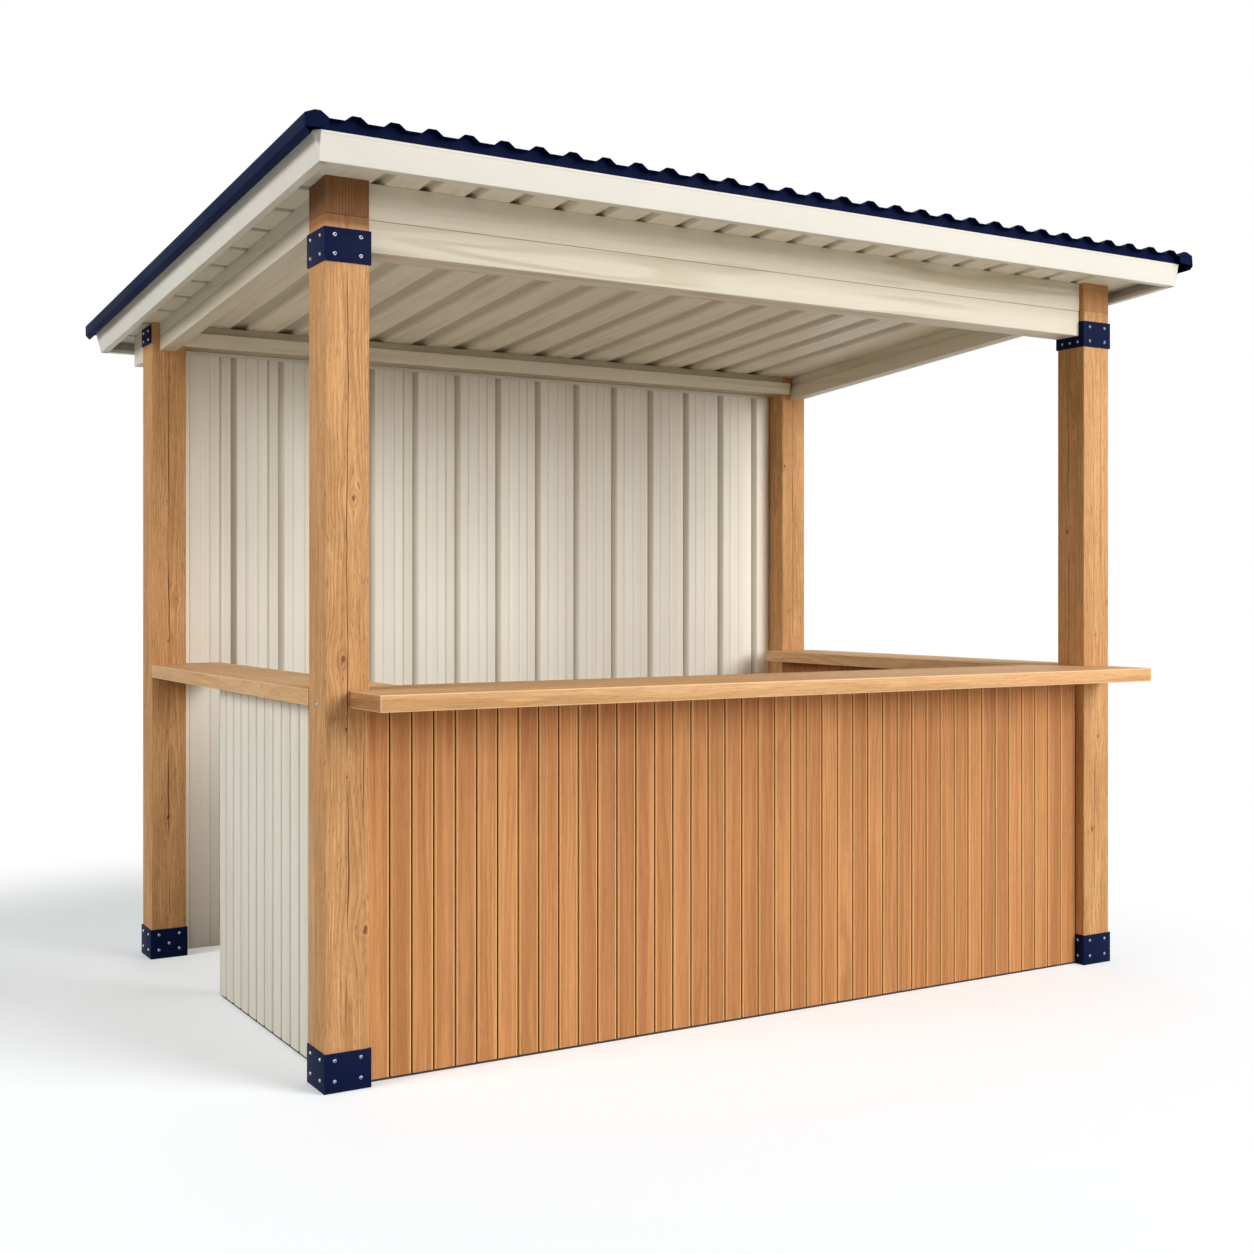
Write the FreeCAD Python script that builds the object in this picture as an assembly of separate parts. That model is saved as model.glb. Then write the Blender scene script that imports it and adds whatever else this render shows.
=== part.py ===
import FreeCAD, Part

import math
import os

# Garden bar: four timber posts in steel shoes, low clad walls with a counter
# on top, a sheet steel back wall and a shallow mono-pitch roof that falls to
# the back. Millimetres, X to the right along the front, Y to the back, Z up.
# Sizes are laid out from the front left corner of the posts on the ground,
# and the finished pieces are then moved so that the origin lies on the ground
# under the middle of the roof.

# Posts and their seats
post_section = 130.0
post_edge_chamfer = 4.0
frame_width = 3050.0
frame_depth = 1985.0
head_block_height = 104.0
shoe_height = 109.0
bracket_thickness = 4.0
shoe_base_thickness = 5.0
head_bracket_height = 94.0
head_bracket_drop = 40.5
head_plate_height = 68.0
head_plate_clearance = 2.0

# Roof planes, measured square to the slope from the ceiling plane
roof_pitch = 4.0
ceiling_height = 2512.0
roof_front_overhang = 262.0
roof_back_overhang = 298.0
roof_side_overhang = 148.0
sheet_thickness = 0.7
roof_rib_pitch = 106.8
roof_rib_height = 15.0
roof_rib_crown = 24.5
roof_rib_flank = 19.0
roof_rib_shift = 16.0
roof_sheet_inset = 4.0

# Ceiling sheet between the side beams
liner_rib_pitch = 143.5
liner_rib_height = 15.0
liner_rib_crown = 22.0
liner_rib_flank = 9.0
liner_edge_pan = 60.0
liner_bearing = 20.0

# Side soffits, with cross ribs
soffit_rib_pitch = 220.0
soffit_rib_height = 8.0
soffit_rib_crown = 24.0
soffit_rib_flank = 6.0
soffit_edge_pan = 80.0

# Battens between the ceiling and the roof sheet, and the low boards at the
# front and back eaves that carry the fascia
batten_height = 40.0
batten_width = 50.0
batten_count = 4
batten_end_gap = 2.0
eaves_board_height = 15.0
eaves_board_width = 90.0

# Fascia, leaning outwards at the top, with a return lip at its foot
fascia_gap = 39.0
fascia_drop = 45.0
fascia_lean = 19.0
fascia_flange = 40.0
fascia_lip = 25.0
fascia_upturn = 12.0
fascia_side_setback = 51.0
fascia_back_setback = 33.0
fascia_thickness = 1.0

# Upright closures between the fascia and the roof sheet at front and back
closure_setback = 2.0
closure_foot = 24.0
closure_thickness = 1.2

# Side trims over the ends of the roof sheet
trim_thickness = 1.2
trim_foot = 66.0
trim_flange = 44.0
trim_shoulder = 28.0
trim_shoulder_drop = 11.0
trim_rise = 2.0
trim_face_height = 38.0
trim_return_width = 15.0
trim_return_drop = 15.0

# Front, side and back beams
front_beam_setback = 20.0
front_beam_height = 90.5
side_beam_setback = 31.0
side_beam_width = 58.0
side_beam_depth = 58.0
side_plate_width = 44.0
side_plate_depth = 47.0
back_rail_thickness = 22.0
back_beam_height = 81.5
back_rail_height = 51.5
back_rail_left_lap = 10.0
back_rail_right_lap = 31.0
rear_beam_depth = 130.0
rear_beam_height = 126.7

# Counter boards
counter_top = 1100.0
counter_thickness = 47.0
front_board_overhang = 225.0
front_board_left_inset = 71.0
front_board_right_inset = 30.0
inner_board_width = 186.0
shelf_width = 292.0
shelf_wall_lap = 200.0
right_counter_inner_lap = 96.0
right_counter_outer_lap = 50.0

# Low walls
entrance_width = 655.0
cladding_setback = 37.0
cladding_thickness = 18.0
lining_thickness = 18.0
frame_timber = 35.0
frame_rail_height = 45.0
stud_spacing = 560.0
jamb_thickness = 18.0
panel_setback = 65.0
panel_thickness = 12.0
panel_first_slat = 103.6
panel_slat_pitch = 81.2
panel_groove_width = 8.0
panel_groove_depth = 5.0

# Back wall: inner sheet between the back posts, frame and outer sheet behind them
wall_rib_pitch = 191.8
wall_rib_depth = 25.0
wall_rib_floor = 42.0
wall_rib_flank = 14.0
wall_rib_shift = 42.0
wall_edge_pan = 60.0
wall_end_setback = 25.0
wall_trim_depth = 14.0
wall_trim_thickness = 1.5
wall_trim_clearance = 2.0
back_frame_depth = 45.0
back_mid_rail_height = 1050.0

# Faces that several pieces share
counter_bottom = counter_top - counter_thickness
back_post_front = frame_depth - post_section
left_wall_end = back_post_front - entrance_width
left_skin_end = left_wall_end - jamb_thickness
shelf_joint = left_wall_end - shelf_wall_lap
post_seam_height = ceiling_height - head_block_height
front_beam_bottom = post_seam_height - front_beam_height
roof_fall = math.tan(math.radians(roof_pitch))
back_rail_bottom = ceiling_height - back_post_front * roof_fall - back_beam_height
rear_ceiling_height = ceiling_height - frame_depth * roof_fall
rear_beam_bottom = rear_ceiling_height - rear_beam_height
inner_wall_face = frame_depth - wall_rib_depth - sheet_thickness
batten_bottom = liner_rib_height + sheet_thickness
eaves_board_top = batten_bottom + eaves_board_height
fascia_top = eaves_board_top + fascia_thickness
roof_sheet_bottom = batten_bottom + batten_height
roof_sheet_top = roof_sheet_bottom + roof_rib_height + sheet_thickness


def box(x0, x1, y0, y1, z0, z1):
    """Box between two corners."""
    corner = FreeCAD.Vector(x0, y0, z0)
    return Part.makeBox(x1 - x0, y1 - y0, z1 - z0, corner)


def prism(points, direction):
    """Solid swept straight along direction from a closed outline."""
    wire = Part.makePolygon(points + [points[0]])
    return Part.Face(wire).extrude(direction)


def tilt(shape):
    """Turn a piece laid flat on the ceiling plane onto the roof slope."""
    shape = shape.copy()
    shape.rotate(FreeCAD.Vector(0, 0, 0), FreeCAD.Vector(1, 0, 0), -roof_pitch)
    shape.translate(FreeCAD.Vector(0, 0, ceiling_height))
    return shape


def under_ceiling(shape):
    """Trim the top of a piece to the ceiling plane."""
    reach = 2 * (frame_width + frame_depth)
    space = box(-reach, reach, -reach, reach, -reach, 0)
    return tilt(space).common(shape).Solids[0]


def mirrored(shape):
    """Copy of a piece on the other side of the bar."""
    middle = FreeCAD.Vector(frame_width / 2, 0, 0)
    return shape.mirror(middle, FreeCAD.Vector(1, 0, 0))


def offset_line(points, distance):
    """Open line of (u, v) points moved sideways to its left by distance."""
    normals = []
    for start, end in zip(points, points[1:]):
        run = math.hypot(end[0] - start[0], end[1] - start[1])
        normals.append(((start[1] - end[1]) / run, (end[0] - start[0]) / run))
    moved = []
    for index, point in enumerate(points):
        before = normals[max(index - 1, 0)]
        after = normals[min(index, len(normals) - 1)]
        spread = 1 + before[0] * after[0] + before[1] * after[1]
        du = (before[0] + after[0]) * distance / spread
        dv = (before[1] + after[1]) * distance / spread
        moved.append((point[0] + du, point[1] + dv))
    return moved


def folded(points, thickness):
    """Outline of a folded sheet: the line and its copy one thickness away."""
    return points + offset_line(points, thickness)[::-1]


def ribbed_line(length, pitch, edge_pan, crown, flank, height, shift=0.0):
    """Line of a trapezoidal sheet whose ribs rise to height, spaced about shift from its middle."""
    half = crown / 2 + flank
    bays = int((length - 2 * (edge_pan + half)) / pitch)
    first = (length - bays * pitch) / 2 + shift
    points = [(0.0, 0.0)]
    for index in range(bays + 1):
        centre = first + index * pitch
        points.append((centre - half, 0.0))
        points.append((centre - crown / 2, height))
        points.append((centre + crown / 2, height))
        points.append((centre + half, 0.0))
    points.append((length, 0.0))
    return points


def roof_sheet_line():
    """Underside of the roof sheet as (x, up) points, from left to right."""
    left = roof_sheet_inset - roof_side_overhang
    line = ribbed_line(frame_width - 2 * left, roof_rib_pitch, trim_foot + roof_rib_shift,
                       roof_rib_crown, roof_rib_flank, roof_rib_height, roof_rib_shift)
    return [(left + u, roof_sheet_bottom + v) for u, v in line]


def roof_sheet():
    """Trapezoidal roof sheet with ribs running down the slope."""
    outline = []
    for x, up in folded(roof_sheet_line(), sheet_thickness):
        outline.append(FreeCAD.Vector(x, -roof_front_overhang, up))
    length = roof_front_overhang + frame_depth + roof_back_overhang
    return tilt(prism(outline, FreeCAD.Vector(0, length, 0)))


def fascia_box():
    """Left, right, front and back of the foot of the fascia."""
    left = fascia_side_setback - roof_side_overhang
    front = fascia_gap - roof_front_overhang
    back = frame_depth + roof_back_overhang - fascia_back_setback
    return left, frame_width - left, front, back


def ceiling_liner():
    """Ceiling sheet that lies on the beams, ribs up, running down the slope."""
    start = side_beam_setback + liner_bearing
    width = frame_width - 2 * start
    line = ribbed_line(width, liner_rib_pitch, liner_edge_pan, liner_rib_crown,
                       liner_rib_flank, liner_rib_height)
    front, back = fascia_box()[2:]
    outline = []
    for u, v in folded(line, sheet_thickness):
        outline.append(FreeCAD.Vector(start + u, front + fascia_thickness, v))
    length = back - front - 2 * fascia_thickness
    return tilt(prism(outline, FreeCAD.Vector(0, length, 0)))


def side_soffit():
    """Soffit strip from the left fascia to the side beam, with cross ribs."""
    left, _, front, back = fascia_box()
    line = ribbed_line(back - front - 2 * fascia_thickness, soffit_rib_pitch,
                       soffit_edge_pan, soffit_rib_crown, soffit_rib_flank,
                       soffit_rib_height)
    outer = left + fascia_thickness
    outline = []
    for u, v in folded(line, sheet_thickness):
        outline.append(FreeCAD.Vector(outer, front + fascia_thickness + u, v))
    inner = side_beam_setback + liner_bearing
    return tilt(prism(outline, FreeCAD.Vector(inner - outer, 0, 0)))


def roof_battens():
    """Battens across the bar between the ceiling and the roof sheet."""
    left, right, front, back = fascia_box()
    inset = fascia_flange - fascia_lean + batten_end_gap
    step = (back - front) / (batten_count + 1)
    rows = []
    for index in range(batten_count):
        start = front + (index + 1) * step - batten_width / 2
        rows.append(box(left + inset, right - inset, start, start + batten_width,
                        batten_bottom, roof_sheet_bottom))
    return tilt(Part.makeCompound(rows))


def eaves_board(start):
    """Low board across the bar that carries a fascia's flange."""
    left, right = fascia_box()[:2]
    return tilt(box(left + batten_end_gap, right - batten_end_gap, start,
                    start + eaves_board_width, batten_bottom, eaves_board_top))


def eaves_closure(face, inward):
    """Upright sheet on a fascia's flange, scribed to the underside of the roof sheet."""
    left, right = fascia_box()[:2]
    x0 = left - fascia_lean
    x1 = right + fascia_lean
    line = roof_sheet_line()
    outline = [FreeCAD.Vector(x, face, up) for x, up in line]
    outline.append(FreeCAD.Vector(line[-1][0], face, fascia_top))
    outline.append(FreeCAD.Vector(line[0][0], face, fascia_top))
    upright = prism(outline, FreeCAD.Vector(0, inward * closure_thickness, 0))
    inner = face + inward * closure_foot
    foot = box(x0, x1, min(face, inner), max(face, inner), fascia_top,
               fascia_top + closure_thickness)
    space = box(x0, x1, min(face, inner), max(face, inner), fascia_top, roof_sheet_top)
    return tilt(upright.common(space).fuse(foot).removeSplitter().Solids[0])


def fascia_outline():
    """Section of the fascia as (outward, up) points from its foot line."""
    line = [(fascia_lean - fascia_flange, fascia_top),
            (fascia_lean, fascia_top),
            (0.0, -fascia_drop),
            (-fascia_lip, -fascia_drop),
            (-fascia_lip, fascia_upturn - fascia_drop)]
    return folded(line, -fascia_thickness)


def front_fascia():
    """Front fascia, straight from one corner to the other."""
    left, right, front, _ = fascia_box()
    outline = [FreeCAD.Vector(left, front - out, up) for out, up in fascia_outline()]
    return tilt(prism(outline, FreeCAD.Vector(right - left, 0, 0)))


def back_fascia():
    """Back fascia, like the front one."""
    left, right, _, back = fascia_box()
    outline = [FreeCAD.Vector(left, back + out, up) for out, up in fascia_outline()]
    return tilt(prism(outline, FreeCAD.Vector(right - left, 0, 0)))


def side_fascia():
    """Left fascia, between the corners."""
    left, _, front, back = fascia_box()
    outline = [FreeCAD.Vector(left - out, front, up) for out, up in fascia_outline()]
    whole = prism(outline, FreeCAD.Vector(0, back - front, 0))
    reach = fascia_lip + fascia_flange
    ends = [box(left, left + reach, front, front + reach, -reach, reach),
            box(left, left + reach, back - reach, back, -reach, reach)]
    return tilt(whole.cut(ends).Solids[0])


def fascia_corner(x, y, side_x, side_y):
    """Three-cornered plate that closes the gap between two leaning fascias."""
    foot = FreeCAD.Vector(x, y, -fascia_drop)
    along_x = FreeCAD.Vector(x, y + side_y * fascia_lean, fascia_top)
    along_y = FreeCAD.Vector(x + side_x * fascia_lean, y, fascia_top)
    normal = (along_x - foot).cross(along_y - foot)
    normal.normalize()
    if normal.x * side_x > 0:
        normal = normal * -1
    plate = prism([foot, along_x, along_y], normal * fascia_thickness)
    reach = 2 * fascia_lean
    corner = box(min(x, x + side_x * reach), max(x, x + side_x * reach),
                 min(y, y + side_y * reach), max(y, y + side_y * reach),
                 -fascia_drop, fascia_top)
    return plate.common(corner).Solids[0]


def fascia_corners():
    """The four corner plates of the fascia."""
    left, right, front, back = fascia_box()
    plates = [fascia_corner(left, front, -1, -1),
              fascia_corner(right, front, 1, -1),
              fascia_corner(left, back, -1, 1),
              fascia_corner(right, back, 1, 1)]
    return tilt(Part.makeCompound(plates))


def side_trim():
    """Folded trim over the left edge of the roof sheet."""
    outer = -roof_side_overhang
    top = roof_sheet_top + trim_rise
    edge = top - trim_shoulder_drop
    line = [(outer + trim_foot, roof_sheet_bottom + sheet_thickness + trim_thickness),
            (outer + trim_flange, top),
            (outer + trim_shoulder, top),
            (outer, edge),
            (outer, edge - trim_face_height),
            (outer + trim_return_width, edge - trim_face_height - trim_return_drop)]
    outline = []
    for u, v in folded(line, trim_thickness):
        outline.append(FreeCAD.Vector(u, -roof_front_overhang, v))
    length = roof_front_overhang + frame_depth + roof_back_overhang
    return tilt(prism(outline, FreeCAD.Vector(0, length, 0)))


def chamfered_post(x, y, z0, z1):
    """Square post with eased upright edges."""
    post = box(x, x + post_section, y, y + post_section, z0, z1)
    upright = [edge for edge in post.Edges if edge.tangentAt(edge.FirstParameter).z ** 2 > 0.5]
    return post.makeChamfer(post_edge_chamfer, upright)


def front_post():
    """Front left post up to the seam."""
    return chamfered_post(0, 0, shoe_base_thickness, post_seam_height)


def front_head_block():
    """Short block from the seam to the ceiling, over the front left post."""
    return under_ceiling(chamfered_post(0, 0, post_seam_height, ceiling_height))


def back_post():
    """Back left post, in one piece up to the ceiling."""
    return under_ceiling(chamfered_post(0, back_post_front, shoe_base_thickness, ceiling_height))


def post_sleeve(x, y, z0, z1):
    """Steel ring round a post."""
    side = bracket_thickness
    outer = box(x - side, x + post_section + side, y - side, y + post_section + side, z0, z1)
    return outer.cut(box(x, x + post_section, y, y + post_section, z0, z1))


def shoe(x, y):
    """Steel shoe that a post stands in, with a base plate on the ground."""
    ring = post_sleeve(x, y, 0, shoe_height)
    base = box(x, x + post_section, y, y + post_section, 0, shoe_base_thickness)
    return ring.fuse(base).removeSplitter().Solids[0]


def back_head_plate():
    """Flat steel plate on the outer face of the back left post."""
    top = rear_ceiling_height - head_plate_clearance
    return box(-bracket_thickness, 0, back_post_front, frame_depth,
               top - head_plate_height, top)


def front_beam():
    """Lower front beam, between the head brackets."""
    start = post_section + bracket_thickness
    return box(start, frame_width - start, front_beam_setback, post_section,
               front_beam_bottom, post_seam_height)


def front_top_plate():
    """Upper front beam, between the head blocks."""
    return under_ceiling(box(post_section, frame_width - post_section,
                             front_beam_setback, post_section,
                             post_seam_height, ceiling_height))


def sloping_bar(x0, x1, depth0, depth1):
    """Bar on the slope, between a front and a back post."""
    bar = tilt(box(x0, x1, 0, 2 * frame_depth, -depth1, -depth0))
    return bar.common(box(x0, x1, post_section, back_post_front, 0, ceiling_height)).Solids[0]


def side_beam():
    """Left side beam, the lower of the two bars."""
    return sloping_bar(side_beam_setback, side_beam_setback + side_beam_width,
                       side_plate_depth, side_plate_depth + side_beam_depth)


def side_top_plate():
    """Left side plate, on top of the side beam and set back inside."""
    return sloping_bar(side_beam_setback, side_beam_setback + side_plate_width,
                       0, side_plate_depth)


def back_top_plate():
    """Beam between the back posts, under the ceiling."""
    return under_ceiling(box(post_section, frame_width - post_section,
                             back_post_front, frame_depth,
                             back_rail_bottom, ceiling_height))


def back_rail():
    """Rail on the front faces of the back posts and the back beam."""
    return box(post_section - back_rail_left_lap,
               frame_width - post_section + back_rail_right_lap,
               back_post_front - back_rail_thickness, back_post_front,
               back_rail_bottom, back_rail_bottom + back_rail_height)


def rear_beam():
    """Beam behind the back posts that carries the roof's back edge."""
    return under_ceiling(box(0, frame_width, frame_depth, frame_depth + rear_beam_depth,
                             rear_beam_bottom, ceiling_height))


def wall_sheet(face, outward, start, top):
    """Back wall sheet with its broad faces on the plane face, turned to the front or back."""
    width = frame_width - 2 * start
    line = ribbed_line(width, wall_rib_pitch, wall_edge_pan, wall_rib_floor,
                       wall_rib_flank, wall_rib_depth, wall_rib_shift)
    outline = []
    for u, v in folded(line, sheet_thickness):
        outline.append(FreeCAD.Vector(start + u, face + outward * v, 0))
    height = top - wall_trim_thickness - wall_trim_clearance
    return prism(outline, FreeCAD.Vector(0, 0, height))


def wall_trim(sheet, frame, start, top):
    """Angle trim over the top of a back wall sheet, back to the face of the frame."""
    outward = math.copysign(1, sheet - frame)
    face = sheet + outward * wall_trim_clearance
    line = [(frame, top), (face, top), (face, top - wall_trim_depth)]
    outline = [FreeCAD.Vector(start, u, v)
               for u, v in folded(line, -outward * wall_trim_thickness)]
    return prism(outline, FreeCAD.Vector(frame_width - 2 * start, 0, 0))


def back_wall_frame():
    """Rails and studs behind the back posts, under the rear beam."""
    front = frame_depth
    back = frame_depth + back_frame_depth
    start = post_section + bracket_thickness
    end = frame_width - start
    top = rear_beam_bottom
    outer_end = frame_width - wall_end_setback
    pieces = [box(start, end, front, back, 0, frame_rail_height),
              box(wall_end_setback, outer_end, front, back, back_mid_rail_height,
                  back_mid_rail_height + frame_rail_height),
              box(wall_end_setback, outer_end, front, back, top - frame_rail_height, top)]
    for x in stud_places(start, end):
        pieces.append(box(x, x + frame_timber, front, back, 0, top))
    for x in (wall_end_setback, outer_end - frame_timber):
        pieces.append(box(x, x + frame_timber, front, back,
                          shoe_height + wall_trim_clearance, top))
    return fused(pieces)


def stud_places(start, end):
    """Left faces of evenly spaced studs from start to end."""
    bays = max(1, round((end - start) / stud_spacing))
    step = (end - start - frame_timber) / bays
    return [start + index * step for index in range(bays + 1)]


def fused(pieces):
    """Pieces joined into one solid."""
    return pieces[0].multiFuse(pieces[1:]).removeSplitter().Solids[0]


def side_wall_frame(x0, start, end):
    """Rails and studs of a low side wall."""
    x1 = x0 + frame_timber
    pieces = [box(x0, x1, start, end, 0, frame_rail_height),
              box(x0, x1, start, end, counter_bottom - frame_rail_height, counter_bottom)]
    for y in stud_places(start, end):
        pieces.append(box(x0, x1, y, y + frame_timber, 0, counter_bottom))
    return fused(pieces)


def front_wall_frame():
    """Rails and studs of the front wall, behind its cladding."""
    start = post_section + bracket_thickness
    end = frame_width - start
    y0 = cladding_setback + cladding_thickness
    y1 = y0 + frame_timber
    pieces = [box(start, end, y0, y1, 0, frame_rail_height),
              box(start, end, y0, y1, counter_bottom - frame_rail_height, counter_bottom)]
    for x in stud_places(start, end):
        pieces.append(box(x, x + frame_timber, y0, y1, 0, counter_bottom))
    return fused(pieces)


def front_skin(front, thickness):
    """Board skin of the front wall."""
    start = post_section + bracket_thickness
    return box(start, frame_width - start, front, front + thickness, 0, counter_bottom)


def slatted_panel(end):
    """Outer panel of the left wall, of upright slats with grooves between."""
    start = post_section + bracket_thickness
    outline = [(panel_setback + panel_thickness, start), (panel_setback, start)]
    groove = start + panel_first_slat
    while groove + panel_groove_width < end:
        outline.append((panel_setback, groove - panel_groove_width / 2))
        outline.append((panel_setback + panel_groove_depth, groove - panel_groove_width / 2))
        outline.append((panel_setback + panel_groove_depth, groove + panel_groove_width / 2))
        outline.append((panel_setback, groove + panel_groove_width / 2))
        groove += panel_slat_pitch
    outline += [(panel_setback, end), (panel_setback + panel_thickness, end)]
    points = [FreeCAD.Vector(x, y, 0) for x, y in outline]
    return prism(points, FreeCAD.Vector(0, 0, counter_bottom))


def board(points):
    """Counter board from its outline in plan."""
    corners = [FreeCAD.Vector(x, y, counter_bottom) for x, y in points]
    return prism(corners, FreeCAD.Vector(0, 0, counter_thickness))


def front_counter_outer():
    """Outer board of the front counter, in front of the posts."""
    x0 = front_board_left_inset
    x1 = frame_width - front_board_right_inset
    return board([(x0, -front_board_overhang), (x1, -front_board_overhang), (x1, 0), (x0, 0)])


def front_counter_inner():
    """Inner board of the front counter, between the posts."""
    x0 = post_section
    x1 = frame_width - post_section
    return board([(x0, 0), (x1, 0), (x1, inner_board_width), (x0, inner_board_width)])


def left_shelf():
    """Left counter board, from the front post to the joint."""
    return board([(0, post_section), (post_section, post_section),
                  (post_section, inner_board_width), (shelf_width, inner_board_width),
                  (shelf_width, shelf_joint), (0, shelf_joint)])


def entrance_shelf():
    """Left counter board over the way in, from the joint past the back post to the wall."""
    return board([(0, shelf_joint), (shelf_width, shelf_joint),
                  (shelf_width, inner_wall_face), (post_section, inner_wall_face),
                  (post_section, back_post_front), (0, back_post_front)])


def right_counter():
    """Right counter board, notched round the inner front board."""
    face = frame_width - post_section
    inner = face - right_counter_inner_lap
    outer = frame_width + right_counter_outer_lap
    return board([(face, post_section), (outer, post_section), (outer, back_post_front),
                  (inner, back_post_front), (inner, inner_board_width),
                  (face, inner_board_width)])


def post_nodes():
    """Posts, shoes and head brackets by name."""
    shoes = {"front_left": shoe(0, 0), "back_left": shoe(0, back_post_front)}
    nodes = {}
    for place, piece in shoes.items():
        nodes["shoe_" + place] = piece
        nodes["shoe_" + place.replace("left", "right")] = mirrored(piece)
    sleeve_bottom = front_beam_bottom - head_bracket_drop
    sleeve = post_sleeve(0, 0, sleeve_bottom, sleeve_bottom + head_bracket_height)
    pairs = {"post_front": front_post(), "post_back": back_post(),
             "head_block": front_head_block(), "head_bracket_front": sleeve,
             "head_plate_back": back_head_plate()}
    for name, piece in pairs.items():
        nodes[name + "_left"] = piece
        nodes[name + "_right"] = mirrored(piece)
    return nodes


def beam_nodes():
    """Beams, plates and rails by name."""
    return {"front_beam": front_beam(), "front_top_plate": front_top_plate(),
            "side_beam_left": side_beam(), "side_beam_right": mirrored(side_beam()),
            "side_plate_left": side_top_plate(), "side_plate_right": mirrored(side_top_plate()),
            "back_top_plate": back_top_plate(), "back_rail": back_rail(),
            "rear_beam": rear_beam()}


def wall_nodes():
    """Walls by name."""
    start = post_section + bracket_thickness
    right_end = back_post_front - bracket_thickness
    frame_x = panel_setback + panel_thickness
    lining_x = frame_x + frame_timber
    frame_back = frame_depth + back_frame_depth
    outer_wall_face = frame_back + wall_rib_depth + sheet_thickness
    left_lining = box(lining_x, lining_x + lining_thickness, start, left_skin_end,
                      0, counter_bottom)
    jamb = box(panel_setback, lining_x + lining_thickness, left_skin_end, left_wall_end,
               0, counter_bottom)
    right_lining = box(lining_x, lining_x + lining_thickness, start, right_end,
                       0, counter_bottom)
    lining_y = cladding_setback + cladding_thickness + frame_timber
    return {"front_cladding": front_skin(cladding_setback, cladding_thickness),
            "front_wall_frame": front_wall_frame(),
            "front_lining": front_skin(lining_y, lining_thickness),
            "left_panel": slatted_panel(left_skin_end),
            "left_wall_frame": side_wall_frame(frame_x, start, left_skin_end),
            "left_lining": left_lining, "left_wall_jamb": jamb,
            "right_panel": mirrored(slatted_panel(right_end)),
            "right_wall_frame": mirrored(side_wall_frame(frame_x, start, right_end)),
            "right_lining": mirrored(right_lining),
            "back_wall_inner": wall_sheet(inner_wall_face, 1, start, back_rail_bottom),
            "back_wall_outer": wall_sheet(outer_wall_face, -1, wall_end_setback,
                                          rear_beam_bottom),
            "back_wall_frame": back_wall_frame(),
            "wall_trim_inner": wall_trim(inner_wall_face, frame_depth, start, back_rail_bottom),
            "wall_trim_outer": wall_trim(outer_wall_face, frame_back, wall_end_setback,
                                         rear_beam_bottom)}


def counter_nodes():
    """Counter boards by name."""
    return {"front_counter_outer": front_counter_outer(),
            "front_counter_inner": front_counter_inner(),
            "left_shelf": left_shelf(), "entrance_shelf": entrance_shelf(),
            "right_counter": right_counter()}


def roof_nodes():
    """Roof pieces by name."""
    front, back = fascia_box()[2:]
    reach = fascia_lean - closure_setback
    return {"roof_sheet": roof_sheet(), "roof_battens": roof_battens(),
            "eaves_board_front": eaves_board(front + batten_end_gap),
            "eaves_board_back": eaves_board(back - batten_end_gap - eaves_board_width),
            "eaves_closure_front": eaves_closure(front - reach, 1),
            "eaves_closure_back": eaves_closure(back + reach, -1),
            "ceiling_liner": ceiling_liner(),
            "soffit_left": side_soffit(), "soffit_right": mirrored(side_soffit()),
            "fascia_front": front_fascia(), "fascia_back": back_fascia(),
            "fascia_left": side_fascia(), "fascia_right": mirrored(side_fascia()),
            "fascia_corners": fascia_corners(),
            "side_trim_left": side_trim(), "side_trim_right": mirrored(side_trim())}


def main():
    """Build every piece, move the origin under the roof's middle and write the files."""
    nodes = {}
    nodes.update(post_nodes())
    nodes.update(beam_nodes())
    nodes.update(wall_nodes())
    nodes.update(counter_nodes())
    nodes.update(roof_nodes())
    whole = Part.makeCompound(list(nodes.values())).BoundBox
    shift = FreeCAD.Vector(-whole.Center.x, -whole.Center.y, 0)
    os.makedirs("parts", exist_ok=True)
    for name, shape in nodes.items():
        shape.translate(shift)
        shape.exportStep(os.path.join("parts", name + ".step"))
    print("nodes", len(nodes), "shift", shift)


main()
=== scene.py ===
"""Looks of the garden bar: timber, boards, folded sheet steel, screws, studio and camera."""

import logging
import math
import random
from dataclasses import dataclass, field, replace
from enum import Enum
from functools import reduce
from itertools import pairwise
from typing import Any, Callable, ClassVar, Iterable, Sequence

import bmesh
import bpy
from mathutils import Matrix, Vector, noise


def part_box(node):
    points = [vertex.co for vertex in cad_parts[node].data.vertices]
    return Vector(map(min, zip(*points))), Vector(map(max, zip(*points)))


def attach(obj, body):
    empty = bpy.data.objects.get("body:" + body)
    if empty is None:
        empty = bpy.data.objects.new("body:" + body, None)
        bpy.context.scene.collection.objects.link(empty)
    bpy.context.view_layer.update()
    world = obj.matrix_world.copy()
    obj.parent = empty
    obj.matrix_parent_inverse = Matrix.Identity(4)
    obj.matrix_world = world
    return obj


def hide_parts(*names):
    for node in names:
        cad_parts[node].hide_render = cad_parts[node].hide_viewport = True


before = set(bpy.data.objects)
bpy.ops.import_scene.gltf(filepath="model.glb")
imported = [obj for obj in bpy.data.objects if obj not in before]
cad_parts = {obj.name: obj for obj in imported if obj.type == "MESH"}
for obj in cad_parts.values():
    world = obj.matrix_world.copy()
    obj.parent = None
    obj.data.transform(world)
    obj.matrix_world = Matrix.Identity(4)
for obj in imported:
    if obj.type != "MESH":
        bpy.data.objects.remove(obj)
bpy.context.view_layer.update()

log = logging.getLogger("garden_bar")
BODY = "root"
BEND_STEPS = 3
BEND_SHARE = 0.46
STRAIGHT = math.radians(178)
MERGED = 1e-5
FLAT = math.radians(1)
SHARP = math.radians(20)
SMOOTH = 30.0
SMOOTH_SCREW = 35.0
SMOOTH_BOARD = 40.0
WHITE = (1.0, 1.0, 1.0, 1.0)
Line = list[Vector]
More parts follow.
